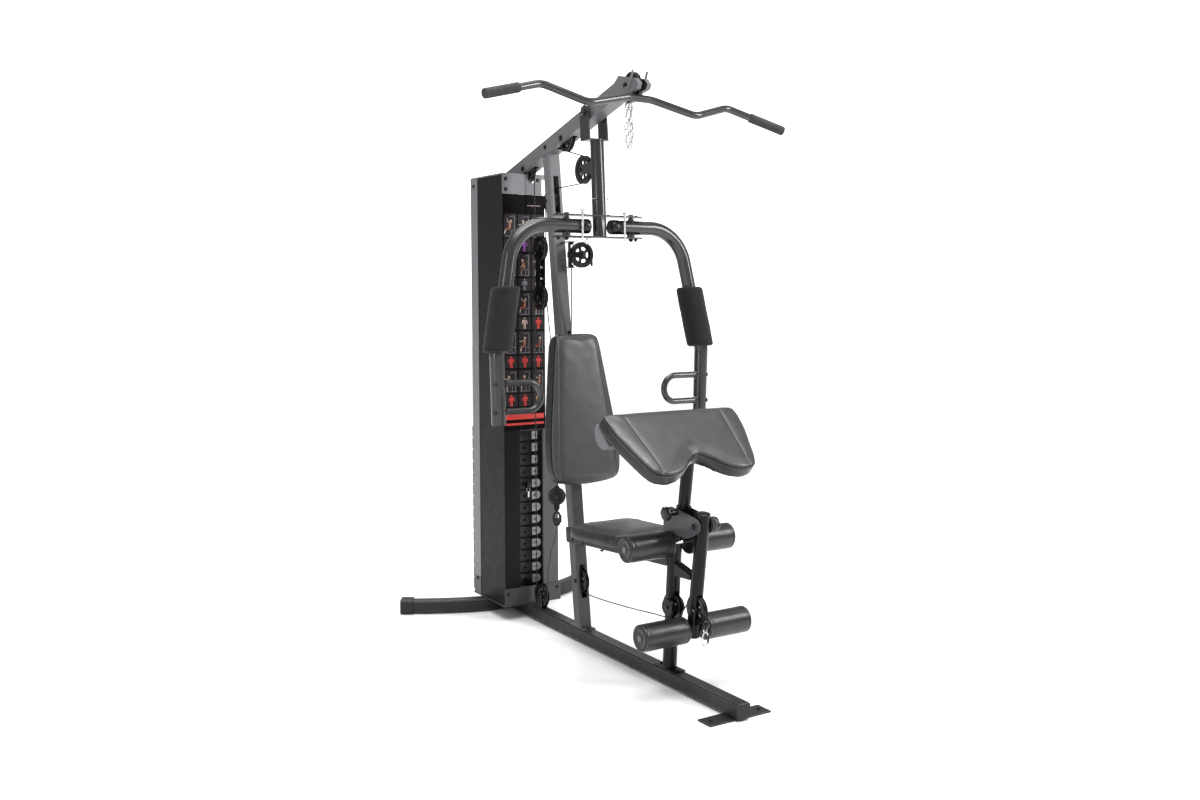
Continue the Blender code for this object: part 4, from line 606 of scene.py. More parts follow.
class Pad:
    """A stuffed cushion over an outline: (u, v) from an origin, with `out` away from its board."""

    def __init__(self, name, half, centre, origin, across, down, thick):
        self.name, self.thick, self.centre = name, thick, centre
        self.origin, self.across, self.down = Vector(origin), Vector(across), Vector(down).normalized()
        self.out = self.across.cross(self.down).normalized()
        self.outline = smooth_outline(half)
        self.grow(SMOOTHING_LOSS)

    def grow(self, reach):
        """Move the outline outwards, which makes up for what smoothing takes off its corners."""
        points = [Vector(p) for p in self.outline]
        moved = []
        for before, p, after in zip(points[-1:] + points[:-1], points, points[1:] + points[:1]):
            along = (after - before).normalized()
            moved.append(tuple(p + Vector((along.y, -along.x)) * reach))
        turn = sum(a.x * b.y - b.x * a.y for a, b in zip(points, points[1:] + points[:1]))
        self.outline = moved if turn > 0 else [tuple(2 * p - Vector(m)) for p, m in zip(points, moved)]

    def at(self, u, v, h):
        """A point of the pad's space."""
        return self.origin + self.across * u + self.down * v + self.out * h

    def start(self, crown, edge=0.011):
        """Closed cover before stuffing: flat underneath, round shoulders, a low crown."""
        levels = [(0.0, 0.975), (0.002, 0.992), (0.007, 1.0), (self.thick - edge, 1.0)]
        for k in range(1, 6):
            a = QUARTER * k / 5
            levels.append((self.thick - edge + edge * math.sin(a) * 0.8, 1.0, edge * (1 - math.cos(a))))
        for f in (0.9, 0.7, 0.5, 0.3, 0.1):
            levels.append((self.thick - edge * 0.2 + crown * (1 - f * f), f, edge))
        cu, cv = self.centre
        rings = []
        for level in levels:
            h, f = level[0], level[1]
            inset = level[2] if len(level) > 2 else 0.0
            ring = []
            for u, v in self.outline:
                reach = math.hypot(u - cu, v - cv)
                g = f * (1 - inset / reach)
                ring.append(self.at(cu + (u - cu) * g, cv + (v - cv) * g, h))
            rings.append(ring)
        shape = Shape(vinyl)
        shape.skin(rings)
        mesh = bpy.data.meshes.new(self.name)
        mesh.from_pydata(shape.verts, [], shape.faces)
        self.obj = bpy.data.objects.new(self.name, mesh)
        bpy.context.scene.collection.objects.link(self.obj)
        step = self.obj.modifiers.new("remesh", "REMESH")
        step.mode, step.voxel_size = "VOXEL", VOXEL
        self.apply()
        return self

    def apply(self):
        """Make the modifiers' result the mesh."""
        graph = bpy.context.evaluated_depsgraph_get()
        graph.update()
        mesh = bpy.data.meshes.new_from_object(self.obj.evaluated_get(graph))
        self.obj.modifiers.clear()
        self.obj.data = mesh

    def points(self):
        """The cover's points as rows."""
        co = np.empty(len(self.obj.data.vertices) * 3)
        self.obj.data.vertices.foreach_get("co", co)
        return co.reshape(-1, 3)

    def stuff(self, cap, pressure=4.0, frames=20):
        """Blow the cover up a little against its board, with how far a point may move capped."""
        before = self.points()
        height = (before - np.array(self.origin)) @ np.array(self.out)
        held = self.obj.vertex_groups.new(name="board")
        held.add([int(i) for i in np.nonzero(height < 0.006)[0]], 1.0, "REPLACE")
        cloth = self.obj.modifiers.new("stuffing", "CLOTH")
        cloth.settings.quality = 4
        cloth.settings.bending_stiffness = VINYL_BENDING
        cloth.settings.tension_stiffness = cloth.settings.compression_stiffness = VINYL_TENSION
        cloth.settings.use_pressure = True
        cloth.settings.uniform_pressure_force = pressure
        cloth.settings.vertex_group_mass = "board"
        cloth.settings.effector_weights.gravity = 0.0
        cloth.collision_settings.use_collision = False
        cloth.point_cache.frame_start, cloth.point_cache.frame_end = 1, frames
        for f in range(1, frames + 1):
            bpy.context.scene.frame_set(f)
        graph = bpy.context.evaluated_depsgraph_get()
        mesh = bpy.data.meshes.new_from_object(self.obj.evaluated_get(graph))
        after = np.empty(len(mesh.vertices) * 3)
        mesh.vertices.foreach_get("co", after)
        move = after.reshape(-1, 3) - before
        length = np.linalg.norm(move, axis=1, keepdims=True)
        move *= np.minimum(1.0, cap / np.maximum(length, 1e-9))
        ends = np.empty(len(self.obj.data.edges) * 2, dtype=np.int32)
        self.obj.data.edges.foreach_get("vertices", ends)
        one, other = ends.reshape(-1, 2).T
        share = np.maximum(1, np.bincount(ends, minlength=len(move)))[:, None]
        for _ in range(EVENING_ROUNDS):
            total = np.zeros_like(move)
            np.add.at(total, one, move[other])
            np.add.at(total, other, move[one])
            move = (move + total / share) / 2
        self.obj.modifiers.clear()
        self.obj.vertex_groups.clear()
        self.obj.data.vertices.foreach_set("co", (before + move).ravel())
        bpy.context.scene.frame_set(1)
        smooth = self.obj.modifiers.new("even", "SMOOTH")
        smooth.iterations, smooth.factor = 4, 0.5
        finer = self.obj.modifiers.new("finer", "SUBSURF")
        finer.levels = finer.render_levels = 1
        self.apply()
        return self

    def line(self, points):
        """Seam points laid on the cover: each is (place, direction) of a ray."""
        tree = BVHTree.FromObject(self.obj, bpy.context.evaluated_depsgraph_get())
        hits = [tree.ray_cast(place, direction)[0] for place, direction in points]
        return [h for h in hits if h is not None]

    def face_seam(self, ends, count=60):
        """A seam drawn on the face between two (u, v) points, over both edges."""
        (u0, v0), (u1, v1) = ends
        return self.line([(self.at(u0 + (u1 - u0) * i / count, v0 + (v1 - v0) * i / count, 0.2), -self.out)
                          for i in range(count + 1)])

    def rim_seam(self, height):
        """A seam round the side at a height."""
        cu, cv = self.centre
        rays = []
        for u, v in self.outline:
            centre = self.at(cu, cv, height)
            far = self.at(cu + (u - cu) * 1.5, cv + (v - cv) * 1.5, height)
            rays.append((far, (centre - far).normalized()))
        return self.line(rays)

    def sew(self, seams, depth=0.0024, width=0.0032):
        """Draw the cover in along its seams; lay piping in the closed ones and stitches by the others."""
        co = self.points()
        mesh = self.obj.data
        normals = np.empty(len(mesh.vertices) * 3)
        mesh.vertices.foreach_get("normal", normals)
        normals = normals.reshape(-1, 3)
        push = np.zeros(len(co))
        for seam, closed in seams:
            line = np.array([tuple(p) for p in seam + (seam[:1] if closed else [])])
            near = np.full(len(co), 1.0)
            for a, b in zip(line, line[1:]):
                d = b - a
                t = np.clip(((co - a) @ d) / max(d @ d, 1e-12), 0, 1)
                near = np.minimum(near, np.linalg.norm(co - (a + t[:, None] * d), axis=1))
            drawn = depth * np.exp(-(near / width) ** 2) + 0.0006 * np.exp(-(near / 0.014) ** 2)
            push = np.maximum(push, drawn)
        rough = np.array([noise.noise(Vector(p) * 26.0) for p in co])
        mesh.vertices.foreach_set("co", (co - normals * (push + 0.0004 * rough)[:, None]).ravel())
        work = Shape(thread)
        for seam, closed in seams:
            fine = spaced(seam, 0.0018)
            out = [Vector(normals[int(np.argmin(np.sum((co - np.array(p)) ** 2, axis=1)))]) for p in fine]
            if closed:
                work.tube([p - n * 0.0006 for p, n in zip(fine, out)], 0.0019, 8, painted_shade_side_vinyl, loop=True)
                continue
            for k in range(1, len(fine) - 3, 3):
                across = (fine[k + 2] - fine[k]).normalized().cross(out[k]) * 0.0042
                for side in (-1, 1):
                    ends = [fine[m] + across * side - out[m] * 0.0007 for m in (k, k + 1, k + 2)]
                    work.tube(ends, 0.00055, 5)
        return work

    def done(self, body, node, seams):
        """Seams, faces' materials, and the piece handed to the frame."""
        stitches = self.sew(seams)
        mesh = self.obj.data
        mesh.materials.clear()
        mesh.materials.append(vinyl)
        mesh.materials.append(painted_shade_side_vinyl)
        # faces turned away from the cushion's face take the darker side vinyl: painted shade on the sides
        facing = np.empty(len(mesh.polygons) * 3)
        mesh.polygons.foreach_get("normal", facing)
        side = (facing.reshape(-1, 3) @ np.array(self.out)) < 0.42
        mesh.polygons.foreach_set("material_index", side.astype(np.int32))
        mesh.shade_smooth()
        settle(self.obj, body, (node,))
        stitches.build(self.name + "_stitching", body, "vinyl")


def make_pads():
    """Back rest, seat and arm curl cushions."""
    back = Pad("back_cushion", BACK_HALF, (0, 0.32), BACK_TOP, -SIDE, BACK_DOWN, 0.054)
    back.start(0.004).stuff(0.006)
    seams = [(back.face_seam(((side * 0.078, -0.004), (side * 0.128, 0.563))), False) for side in (-1, 1)]
    seams.append((back.rim_seam(0.041), True))
    back.done("frame", "back_pad", seams)
    lean = BACK_DOWN.normalized()
    rest = Shape(black)
    rings = []
    for v in (0.10, 0.50):
        p = BACK_TOP + lean * v
        rear = UPRIGHT_FOOT_Y + UPRIGHT_LEAN * p.z - 0.0252 - 0.0003
        rings.append([(x, y, p.z) for x, y in ((-0.036, p.y - 0.004), (0.036, p.y - 0.004), (0.036, rear),
                                               (-0.036, rear))])
    rest.skin(rings).build("back_board", "frame", "vinyl")

    height = 0.399 + (0.15 - SEAT_REAR_Y) * SEAT_SLOPE + 0.025 * math.hypot(1, SEAT_SLOPE) + 0.0005
    seat = Pad("seat_cushion", SEAT_HALF, (0, 0.16), (0, SEAT_REAR_Y, height), -SIDE, (0, -1, SEAT_SLOPE),
               0.046)
    seat.start(0.006).stuff(0.008)
    seat.done("frame", "seat_pad", [(seat.rim_seam(0.034), True)])

    down = Vector((0, -math.cos(CURL), -math.sin(CURL)))
    curl = Pad("curl_cushion", CURL_HALF, (0, 0.10), curl_origin(), -SIDE, down, 0.054)
    curl.start(0.003).stuff(0.005)
    seams = [(curl.face_seam(((side * 0.196, -0.008), (side * 0.166, 0.283))), False) for side in (-1, 1)]
    seams.append((curl.rim_seam(0.042), True))
    curl.done("curl_pad", "preacher_pad", seams)


def curl_origin():
    """Middle of the curl pad's upper edge, on its underside."""
    out = Vector((0, -math.sin(CURL), math.cos(CURL)))
    return Vector((0, *CURL_TOP)) - out * CURL_THICK


# ---- rollers and foam sleeves -------------------------------------------------------------
def soft_roll(shape, profile, centre, axis, sides, dent):
    """A turned soft shell, a little uneven like foam under its cover."""
    axis, across, along = frame_of(axis)
    centre = Vector(centre)
    rings = []
    for h, r in profile:
        ring = []
        for u, v in circle(1.0, sides):
            p = centre + axis * h + (across * u + along * v) * r
            ring.append(p + (across * u + along * v) * dent * noise.noise(p * 17.0))
        rings.append(ring)
    shape.skin(rings)


def make_rollers():
    """Four padded rollers with end discs and plugs."""
    for level, (y, z) in (("upper", UPPER_ROLLERS), ("lower", LOWER_ROLLERS)):
        for side, word in ((-1, "left"), (1, "right")):
            name = level + "_roller_" + word
            roll = Shape(roller_vinyl)
            face, end = ROLLER_INNER + ROLLER_EASE, ROLLER_OUTER - ROLLER_END_EASE
            profile = [(ROLLER_INNER, 0.010), (ROLLER_INNER + 0.0002, 0.030)]
            profile += round_out(ROLLER_INNER, ROLLER_RADIUS, ROLLER_EASE, 5)
            for k in range(1, ROLLER_RINGS):
                h = face + (end - face) * k / ROLLER_RINGS
                groove = sum(0.0013 * math.exp(-((h - g) / 0.0016) ** 2) for g in ROLLER_GROOVES)
                profile.append((h, ROLLER_RADIUS - groove))
            profile += round_in(ROLLER_OUTER, ROLLER_RADIUS, ROLLER_END_EASE, 5)
            profile += [(0.2090, 0.0375), (0.2078, 0.036), (0.2078, 0.010)]
            soft_roll(roll, profile, (0, y, z), (side, 0, 0), 56, 0.0009)
            obj = roll.build(name + "_cover", name, "vinyl", (name,), sharp=50)
            disc = Shape(plastic, plug_grey)
            disc.lathe([(0.2060, 0.034), (0.2092, 0.0355), (0.2104, 0.0345), (0.2108, 0.030), (0.2100, 0.028),
                        (0.2100, 0.016), (0.2112, 0.0145), (0.2112, 0.009)], (0, y, z), (side, 0, 0), 40)
            disc.lathe([(0.2090, 0.0105), (0.2122, 0.0105), (0.2132, 0.0095), (0.2134, 0.006)], (0, y, z),
                       (side, 0, 0), 28, plug_grey)
            disc.build(name + "_disc", name, "black_plastic")
    for name in ("upper_roller_axle", "lower_roller_axle"):
        dress([name], chrome)


def make_sleeves():
    """Thick foam tubes on the arms."""
    for side, word in ((-1, "left"), (1, "right")):
        top = Vector((side * ARM_SHOULDER_X, FLY[1], ARM_Z))
        low = Vector((side * ARM_ELBOW[0], FLY[1] - ARM_FORWARD, ARM_ELBOW[1]))
        axis = (low - top).normalized()
        start, stop, radius, ease = SLEEVE_START, SLEEVE_STOP, SLEEVE_RADIUS, SLEEVE_EASE
        profile = [(start + 0.001, ARM_RADIUS - 0.002), (start, 0.033)] + round_out(start, radius, ease, 6)
        profile += [(start + ease + (stop - start - 2 * ease) * k / 40, radius) for k in range(1, 40)]
        profile += round_in(stop, radius, ease, 6) + [(stop, 0.033), (stop - 0.001, ARM_RADIUS - 0.002)]
        sleeve = Shape(foam)
        soft_roll(sleeve, profile, top, axis, 64, 0.0016)
        obj = sleeve.build("foam_cover_" + word, "fly_arm_" + word, "foam", ("foam_sleeve_" + word,),
                           sharp=60)


# ---- arms and press carriage --------------------------------------------------------------
def make_arms():
    """Bent arms with hand loops, bushes, plugs and bolts."""
    for side, word in ((-1, "left"), (1, "right")):
        y = FLY[1] - ARM_FORWARD
        corners = [(ARM_START_X, FLY[1], ARM_Z), (ARM_SHOULDER_X, FLY[1], ARM_Z),
                   (ARM_ELBOW[0], y, ARM_ELBOW[1]), (ARM_FOOT[0], y, ARM_FOOT[1])]
        path = bend([(side * u, v, w) for u, v, w in corners], [0.15, 0.08], 18)
        arm = Shape(gunmetal)
        arm.tube(path, ARM_RADIUS, 40, inner=ARM_RADIUS - TUBE_WALL)
        corners = [(LOOP_X[i], LOOP_Z[j]) for i, j in ((0, 0), (1, 0), (1, 1), (0, 1))]
        loop = bend([(side * u, y, w) for u, w in corners], [LOOP_BEND, LOOP_BEND], 16)
        arm.tube(loop, LOOP_RADIUS, 24)
        for z in LOOP_Z:
            weld = [(0.0, 0.0150), (0.002, 0.0142), (0.005, 0.0118)]
            arm.lathe(weld, (side * 0.4012, y, z), (-side, 0, 0), 24)
        x = side * FLY[0]
        bush = [(1.5086, 0.0135), (1.5092, 0.0142), (1.5695, 0.0142), (1.5700, 0.0135)]
        arm.lathe(bush, (x, FLY[1], 0), UP, 28)
        end, back = path[-1], path[-2]
        axis = (end - back).normalized()
        arm.lathe([(-0.012, 0.0221), (-0.0002, 0.0221), (0.0, 0.0236), (0.0022, 0.0236), (0.0032, 0.0220)],
                  end, axis, 32, plastic)
        cap = [(-0.031, 0.0249), (-0.031, 0.0256), (-0.0302, 0.0260), (-0.0030, 0.0260), (-0.0006, 0.0248),
               (0.0004, 0.0220)]
        arm.lathe(cap, path[0], (-side, 0, 0), 40, plastic)
        face = Vector((side * 0.80, -0.60, 0)).normalized()
        for z in LOOP_Z[::-1]:
            arm.bolt(Vector((side * 0.4262, y, z)) + face * (ARM_RADIUS - 0.0008), face, 0.0062)
        arm.build("tube_arm_" + word, "fly_arm_" + word, "gunmetal", ("arm_" + word,))


def make_carriage():
    """Bolts, nuts, lock pins and wire lanyards of the press carriage."""
    dress(["press_frame"], gunmetal, gunmetal_edge, 0.0008)
    parts = Shape(bolt_black)
    for side in (-1, 1):
        x, y = side * FLY[0], FLY[1]
        parts.bolt((x, y, CARRIER_TOP), UP, 0.0082)
        parts.bolt((x, y, CARRIER_FOOT), -UP, 0.0080, nut=True)
        parts.bolt((side * 0.163, y + 0.010, CARRIER_TOP), UP, 0.0060)
        parts.bolt((side * 0.052, y + 0.022, CARRIER_TOP), UP, 0.0055)
        parts.bolt((side * 0.163, y + 0.010, CARRIER_FOOT), -UP, 0.0060, nut=True)
        parts.bolt((side * 0.0402, *PRESS_PIVOT), (side, 0, 0), 0.0105, nut=side > 0)
        parts.bolt((side * 0.0157, PRESS[0], PRESS[1]), (side, 0, 0), 0.0062, nut=side > 0)
        parts.lathe([(0, 0.0032), (0.002, 0.0036), (0.004, 0.0026)], (side * 0.0205, -0.0295, LANYARD_Z),
                    (side * 0.7, -0.7, 0), 14)
    eye = Vector((-0.046, -0.004, 1.4890))
    parts.lathe([(0.0, 0.0055), (0.0030, 0.0055), (0.0036, 0.0030), (0.0075, 0.0028)],
                (eye.x, eye.y, 1.5026), -UP, 14, zinc)
    parts.tube(hoop(eye, SIDE, UP, 0.0062, 0.0075, 24), 0.0019, 10, zinc, loop=True)
    parts.build("carriage_bolts", "press_arm", "black_plastic")
    for side, word in ((-1, "left"), (1, "right")):
        x, y = side * LOCK[0], LOCK[1]
        pin = Shape(zinc)
        pin.lathe([(1.490, 0.0022), (1.4935, 0.0040), (1.5855, 0.0040), (1.5862, 0.0085), (1.5882, 0.0090),
                   (1.5898, 0.0085), (1.5904, 0.0050), (1.5985, 0.0046), (1.6000, 0.0030)], (x, y, 0), UP, 24)
        pin.tube(hoop(Vector((x, y, 1.5960)), UP, SIDE, 0.0075, 0.0075, 20), 0.0009, 8, loop=True)
        pin.build("pull_pin_" + word, "lock_pin_" + word, "chrome", ("lock_pin_" + word,))
        wire = Shape(zinc)
        a, b = Vector((side * 0.0225, -0.0335, LANYARD_Z)), Vector((x + side * 0.001, y, 1.6030))
        swell = Vector((side * 0.012, -0.006, 0.020 if side > 0 else 0.008))
        path = [a.lerp(b, t) + swell * math.sin(math.pi * t) * (1.15 - 0.3 * t)
                for t in [k / 40 for k in range(41)]]
        wire.tube(path, 0.0008, 8)
        obj = wire.build("pin_lanyard_" + word, None, "chrome")
        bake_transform(obj)


# ---- lat bar and chain --------------------------------------------------------------------
def lat_half(side):
    """Corners of one half of the bar's centre line."""
    return [LAT + Vector((side * x, LAT_TIP * z, z + LAT_TILT * side * x)) for x, z in LAT_CORNERS]


def make_lat_bar():
    """Waved bar, its lug and cable end, and ribbed grips."""
    halves = []
    for side in (-1, 1):
        half = lat_half(side)
        half[-1] += (half[-2] - half[-1]).normalized() * 0.004
        halves.append(half)
    path = spaced(bend(halves[0][::-1] + halves[1], [0.06, 0.07, 0.10, 0.10, 0.07, 0.06], 12), 0.03)
    bar = Shape(gunmetal)
    bar.tube(path, 0.0125, 32)
    bar.lathe([(0.0, 0.0052), (0.0140, 0.0050), (0.0160, 0.0042)], LAT, UP, 20)
    bar.build("waved_bar", "lat_bar", "gunmetal", ("lat_bar",))
    for side, word in ((-1, "left"), (1, "right")):
        corner, end = lat_half(side)[-2:]
        axis = (end - corner).normalized()
        stop = (end - corner).length
        start = stop - GRIP_LENGTH
        profile = [(start + h, r) for h, r in GRIP_COLLAR]
        ribs = 30
        for k in range(ribs):
            h = start + 0.0080 + (GRIP_LENGTH - 0.016) * k / ribs
            w = (GRIP_LENGTH - 0.016) / ribs
            profile += [(h, 0.0154), (h + w * 0.25, 0.0162), (h + w * 0.65, 0.0162)]
        profile += [(stop - h, r) for h, r in GRIP_END]
        grip = Shape(rubber).lathe(profile, corner, axis, 36)
        grip.build("ribbed_grip_" + word, "lat_bar", "rubber", ("lat_grip_" + word,), sharp=60)


def stadium(centre, along, across, length, width, steps=7):
    """A chain link's centre line."""
    half = (length - width) / 2
    points = []
    for sign in (1, -1):
        for k in range(steps + 1):
            a = -QUARTER + math.pi * k / steps
            points.append(centre + along * (sign * (half + width / 2 * math.cos(a)))
                          + across * (sign * width / 2 * math.sin(a)))
    return points


def chain(shape, points, length=0.0250, width=0.0132, radius=0.0017):
    """Links threaded one through the next along a path."""
    path = spaced(points, 0.001)
    pitch = length - 2 * radius
    run, last = 0.0, path[0]
    spots = [(path[0], (path[1] - path[0]).normalized())]
    for a, b in zip(path, path[1:]):
        run += (b - a).length
        if run >= pitch:
            spots.append((b, (b - last).normalized()))
            last, run = b, 0.0
    for i, (spot, along) in enumerate(spots):
        across = along.cross(BACK).normalized()
        twist = math.radians(90 * (i % 2) + 18 * math.sin(i * 1.7))
        across = Matrix.Rotation(twist, 3, along) @ across
        shape.tube(stadium(spot, along, across, length, width), radius, 8, loop=True)


def make_chain():
    """The spare chain, doubled, hung from the boom's tip."""
    links = Shape(zinc)
    y = -0.203
    chain(links, [(-0.009, y, 1.936), (-0.013, y - 0.002, 1.86), (-0.011, y, 1.800)])
    chain(links, [(0.009, y + 0.003, 1.936), (0.012, y + 0.003, 1.87), (0.014, y, 1.815)])
    chain(links, [(0.0, y - 0.006, 1.928), (0.002, y - 0.007, 1.84), (-0.002, y - 0.006, 1.782)])
    links.tube(hoop(Vector((0, y, 1.9400)), UP, SIDE, 0.008, 0.012, 28), 0.0020, 10, loop=True)
    links.build("chain_links", "hanging_chain", "chrome", ("hanging_chain",))


# ---- wheels -------------------------------------------------------------------------------
def wheel(shape, centre, axis=(1, 0, 0), radius=WHEEL_RADIUS, windows=6, ink=None):
    """Grooved plastic wheel: rim, web with windows, hub and bearing."""
    ink = ink or plastic
    h = WHEEL_HALF
    inner = radius - RIM_DEPTH
    rim = [(-h, inner), (-h, radius - 0.0012), (-h + 0.0010, radius), (-h + 0.0022, radius - 0.0004),
           (-0.0030, radius - 0.0062), (0.0, radius - 0.0074), (0.0030, radius - 0.0062),
           (h - 0.0022, radius - 0.0004), (h - 0.0010, radius), (h, radius - 0.0012), (h, inner),
           (0.0045, inner - 0.0018), (-0.0045, inner - 0.0018)]
    shape.lathe(rim, centre, axis, 64, ink, bored=True)
    hub = [(-h, 0.0054), (-h, 0.0108), (-h + 0.0010, 0.0120), (h - 0.0010, 0.0120), (h, 0.0108), (h, 0.0054)]
    shape.lathe(hub, centre, axis, 32, ink, bored=True)
    shape.lathe([(-h - 0.0004, 0.0052), (-h - 0.0004, 0.0080), (h + 0.0004, 0.0080), (h + 0.0004, 0.0052)],
                centre, axis, 24, zinc, bored=True)
    axis, across, along = frame_of(axis)
    centre = Vector(centre)
    radii = [0.0112, 0.0150, 0.0172, inner - 0.0060, inner - 0.0040, inner + 0.0010]
    per = SPOKE_STEPS
    count = windows * per

    def point(i, j, z):
        a = 2 * math.pi * i / count
        k = i % per
        r = radii[j]
        if j in (2, 3) and (k == 2 or k == per - 2):
            r += 0.0016 if j == 2 else -0.0016
        return centre + axis * z + (across * math.cos(a) + along * math.sin(a)) * r

    solid = {(i, j) for i in range(count) for j in range(5)
             if not (j == 2 and 2 <= i % per < per - 2)}
    verts, index, faces = [], {}, []

    def vert(i, j, z):
        key = (i % count, j, z)
        if key not in index:
            index[key] = len(verts)
            verts.append(point(i % count, j, z))
        return index[key]

    t = WEB_HALF
    for i, j in sorted(solid):
        for z in (-t, t):
            faces.append([vert(i, j, z), vert(i + 1, j, z), vert(i + 1, j + 1, z), vert(i, j + 1, z)])
        for (a, b), other in ((((i, j), (i + 1, j)), (i, j - 1)),
                              (((i, j + 1), (i + 1, j + 1)), (i, j + 1)),
                              (((i, j), (i, j + 1)), ((i - 1) % count, j)),
                              (((i + 1, j), (i + 1, j + 1)), ((i + 1) % count, j))):
            if other not in solid:
                faces.append([vert(*a, -t), vert(*b, -t), vert(*b, t), vert(*a, t)])
    shape.shell(verts, faces, ink)


def make_wheels():
    """All the free wheels, and the bolts that carry them."""
    bolts = Shape(bolt_black)
    reach = {"tip": 0.0272, "mid": 0.0272, "rear": 0.0272, "stack": 0.0162, "slot": 0.0252, "base": 0.0137,
             "low": 0.0252, "post": 0.0267}
    for word, (y, z) in (("tip", TIP), ("mid", MID), ("rear", REAR), ("stack", STACK), ("slot", SLOT),
                         ("base", BASE), ("low", LOW), ("post", POST)):
        body = word + "_pulley"
        shape = Shape(plastic)
        wheel(shape, (0, y, z))
        shape.build(word + "_wheel", body, "black_plastic", (body,))
        for side in (-1, 1):
            size = 0.0082 if z > BOOM_BOLT_Z else 0.0068
            bolts.bolt((side * reach[word], y, z), (side, 0, 0), size, nut=side > 0)
    shape = Shape(charcoal)
    wheel(shape, (0, *PRESS), radius=PRESS_RADIUS, windows=7, ink=charcoal)
    shape.build("press_wheel", "press_pulley", "black_plastic", ("press_pulley",))
    for word, place, axis, windows in (("developer", (0, *DEV), SIDE, 6),
                                       ("swivel", SWIVEL + SIDE * SEAT_RADIUS, BACK, 5)):
        shape = Shape(plastic)
        wheel(shape, place, axis, windows=windows)
        shape.build(word + "_wheel", word + "_pulley", "black_plastic", (word + "_pulley",))
    return bolts


def make_blocks():
    """Floating block with two wheels, swivel fork, and the hook block with its snap hook."""
    block = Shape(bolt_black)
    (y, z0), (_, z1) = FLOAT
    outline = []
    for centre, turn in ((z0, 1), (z1, -1)):
        for a in sweep(math.pi, 8):
            reach = turn * STRAP_RADIUS
            outline.append((y + reach * math.cos(a), centre + reach * math.sin(a)))
    for x in (-0.0125, 0.0095):
        block.slab(outline, (x, 0, 0), BACK, UP, 0, 0.003, black, soft=0.0006)
    for yy, z in FLOAT:
        wheel(block, (0, yy, z), ink=plastic)
        for side in (-1, 1):
            block.bolt((side * 0.0126, yy, z), (side, 0, 0), 0.0064, nut=side > 0)
    for dz in (-0.022, 0.022):
        block.lathe([(-0.0100, 0.0065), (0.0100, 0.0065)], (0, y, (z0 + z1) / 2 + dz), SIDE, 20, zinc)
    block.build("double_block", "floating_block", "black_plastic", ("floating_block",))

    dress(["swivel_yoke"], black, black_edge, 0.0006)
    fork = Shape(bolt_black)
    for side in (-1, 1):
        fork.bolt(SWIVEL + SIDE * SEAT_RADIUS + BACK * (side * 0.0137), (0, side, 0), 0.0064, nut=side > 0)
    fork.build("swivel_bolts", "swivel_yoke", "black_plastic")

    axis = Vector((math.sin(HOOK_TURN), math.cos(HOOK_TURN), 0))
    across = Vector((math.cos(HOOK_TURN), -math.sin(HOOK_TURN), 0))
    centre = Vector((0, *HOOK))
    hook = Shape(plastic)
    wheel(hook, centre, axis, radius=HOOK_WHEEL_RADIUS, windows=5)
    outline = [(0.011 * math.cos(a), 0.030 + 0.011 * math.sin(a)) for a in sweep(math.pi, 8)]
    outline += [(-0.011 * math.cos(a), -0.046 - 0.010 * math.sin(a)) for a in sweep(math.pi, 8)]
    for h, low in ((-0.0130, -0.003), (0.0100, 0.0)):
        hook.slab(outline, centre + axis * h, across, UP, low, low + 0.003, black, soft=0.0006)
    for side in (-1, 1):
        hook.bolt(centre + axis * (side * 0.0130), axis * side, 0.0060, nut=side > 0)
        hook.lathe([(-0.0128, 0.0045), (0.0128, 0.0045)], centre + UP * (0.031 if side > 0 else -0.045), axis,
                   16, zinc)
    snap = centre - UP * 0.0880
    hook.tube(hoop(snap, across, UP, 0.0130, 0.026, 36), 0.0042, 14, black, loop=True)
    hook.lathe([(-0.013, 0.0058), (0.013, 0.0058)], snap + across * 0.0125, UP, 18, bolt_black)
    hook.lathe([(-0.0045, 0.0120), (-0.0035, 0.0132), (0.0035, 0.0132), (0.0045, 0.0120)],
               snap - UP * 0.010, axis, 28, plastic)
    hook.build("snap_block", "frame", "black_plastic", ("hook_block",))


# ---- cables -------------------------------------------------------------------------------
def arc(centre, start, stop, radius=SEAT_RADIUS, x=0.0):
    """Points round a wheel in the YZ plane, angles in degrees from +Y towards +Z."""
    steps = max(2, round(abs(stop - start) / 6))
    points = []
    for i in range(steps + 1):
        a = math.radians(start + (stop - start) * i / steps)
        points.append(Vector((x, centre[0] + radius * math.cos(a), centre[1] + radius * math.sin(a))))
    return points


def run(name, points, body, replaces=(), joint=None):
    """One length of cable; `joint` is its two bodies when it crosses one."""
    path = spaced(points, 0.02 if joint else 0.05)
    cable = Shape(cable_mat)
    cable.tube(path, CABLE_RADIUS, 14)
    obj = cable.build(name, None if joint else body, "cable_black", replaces, sharp=60)
    if joint:
        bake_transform(obj)


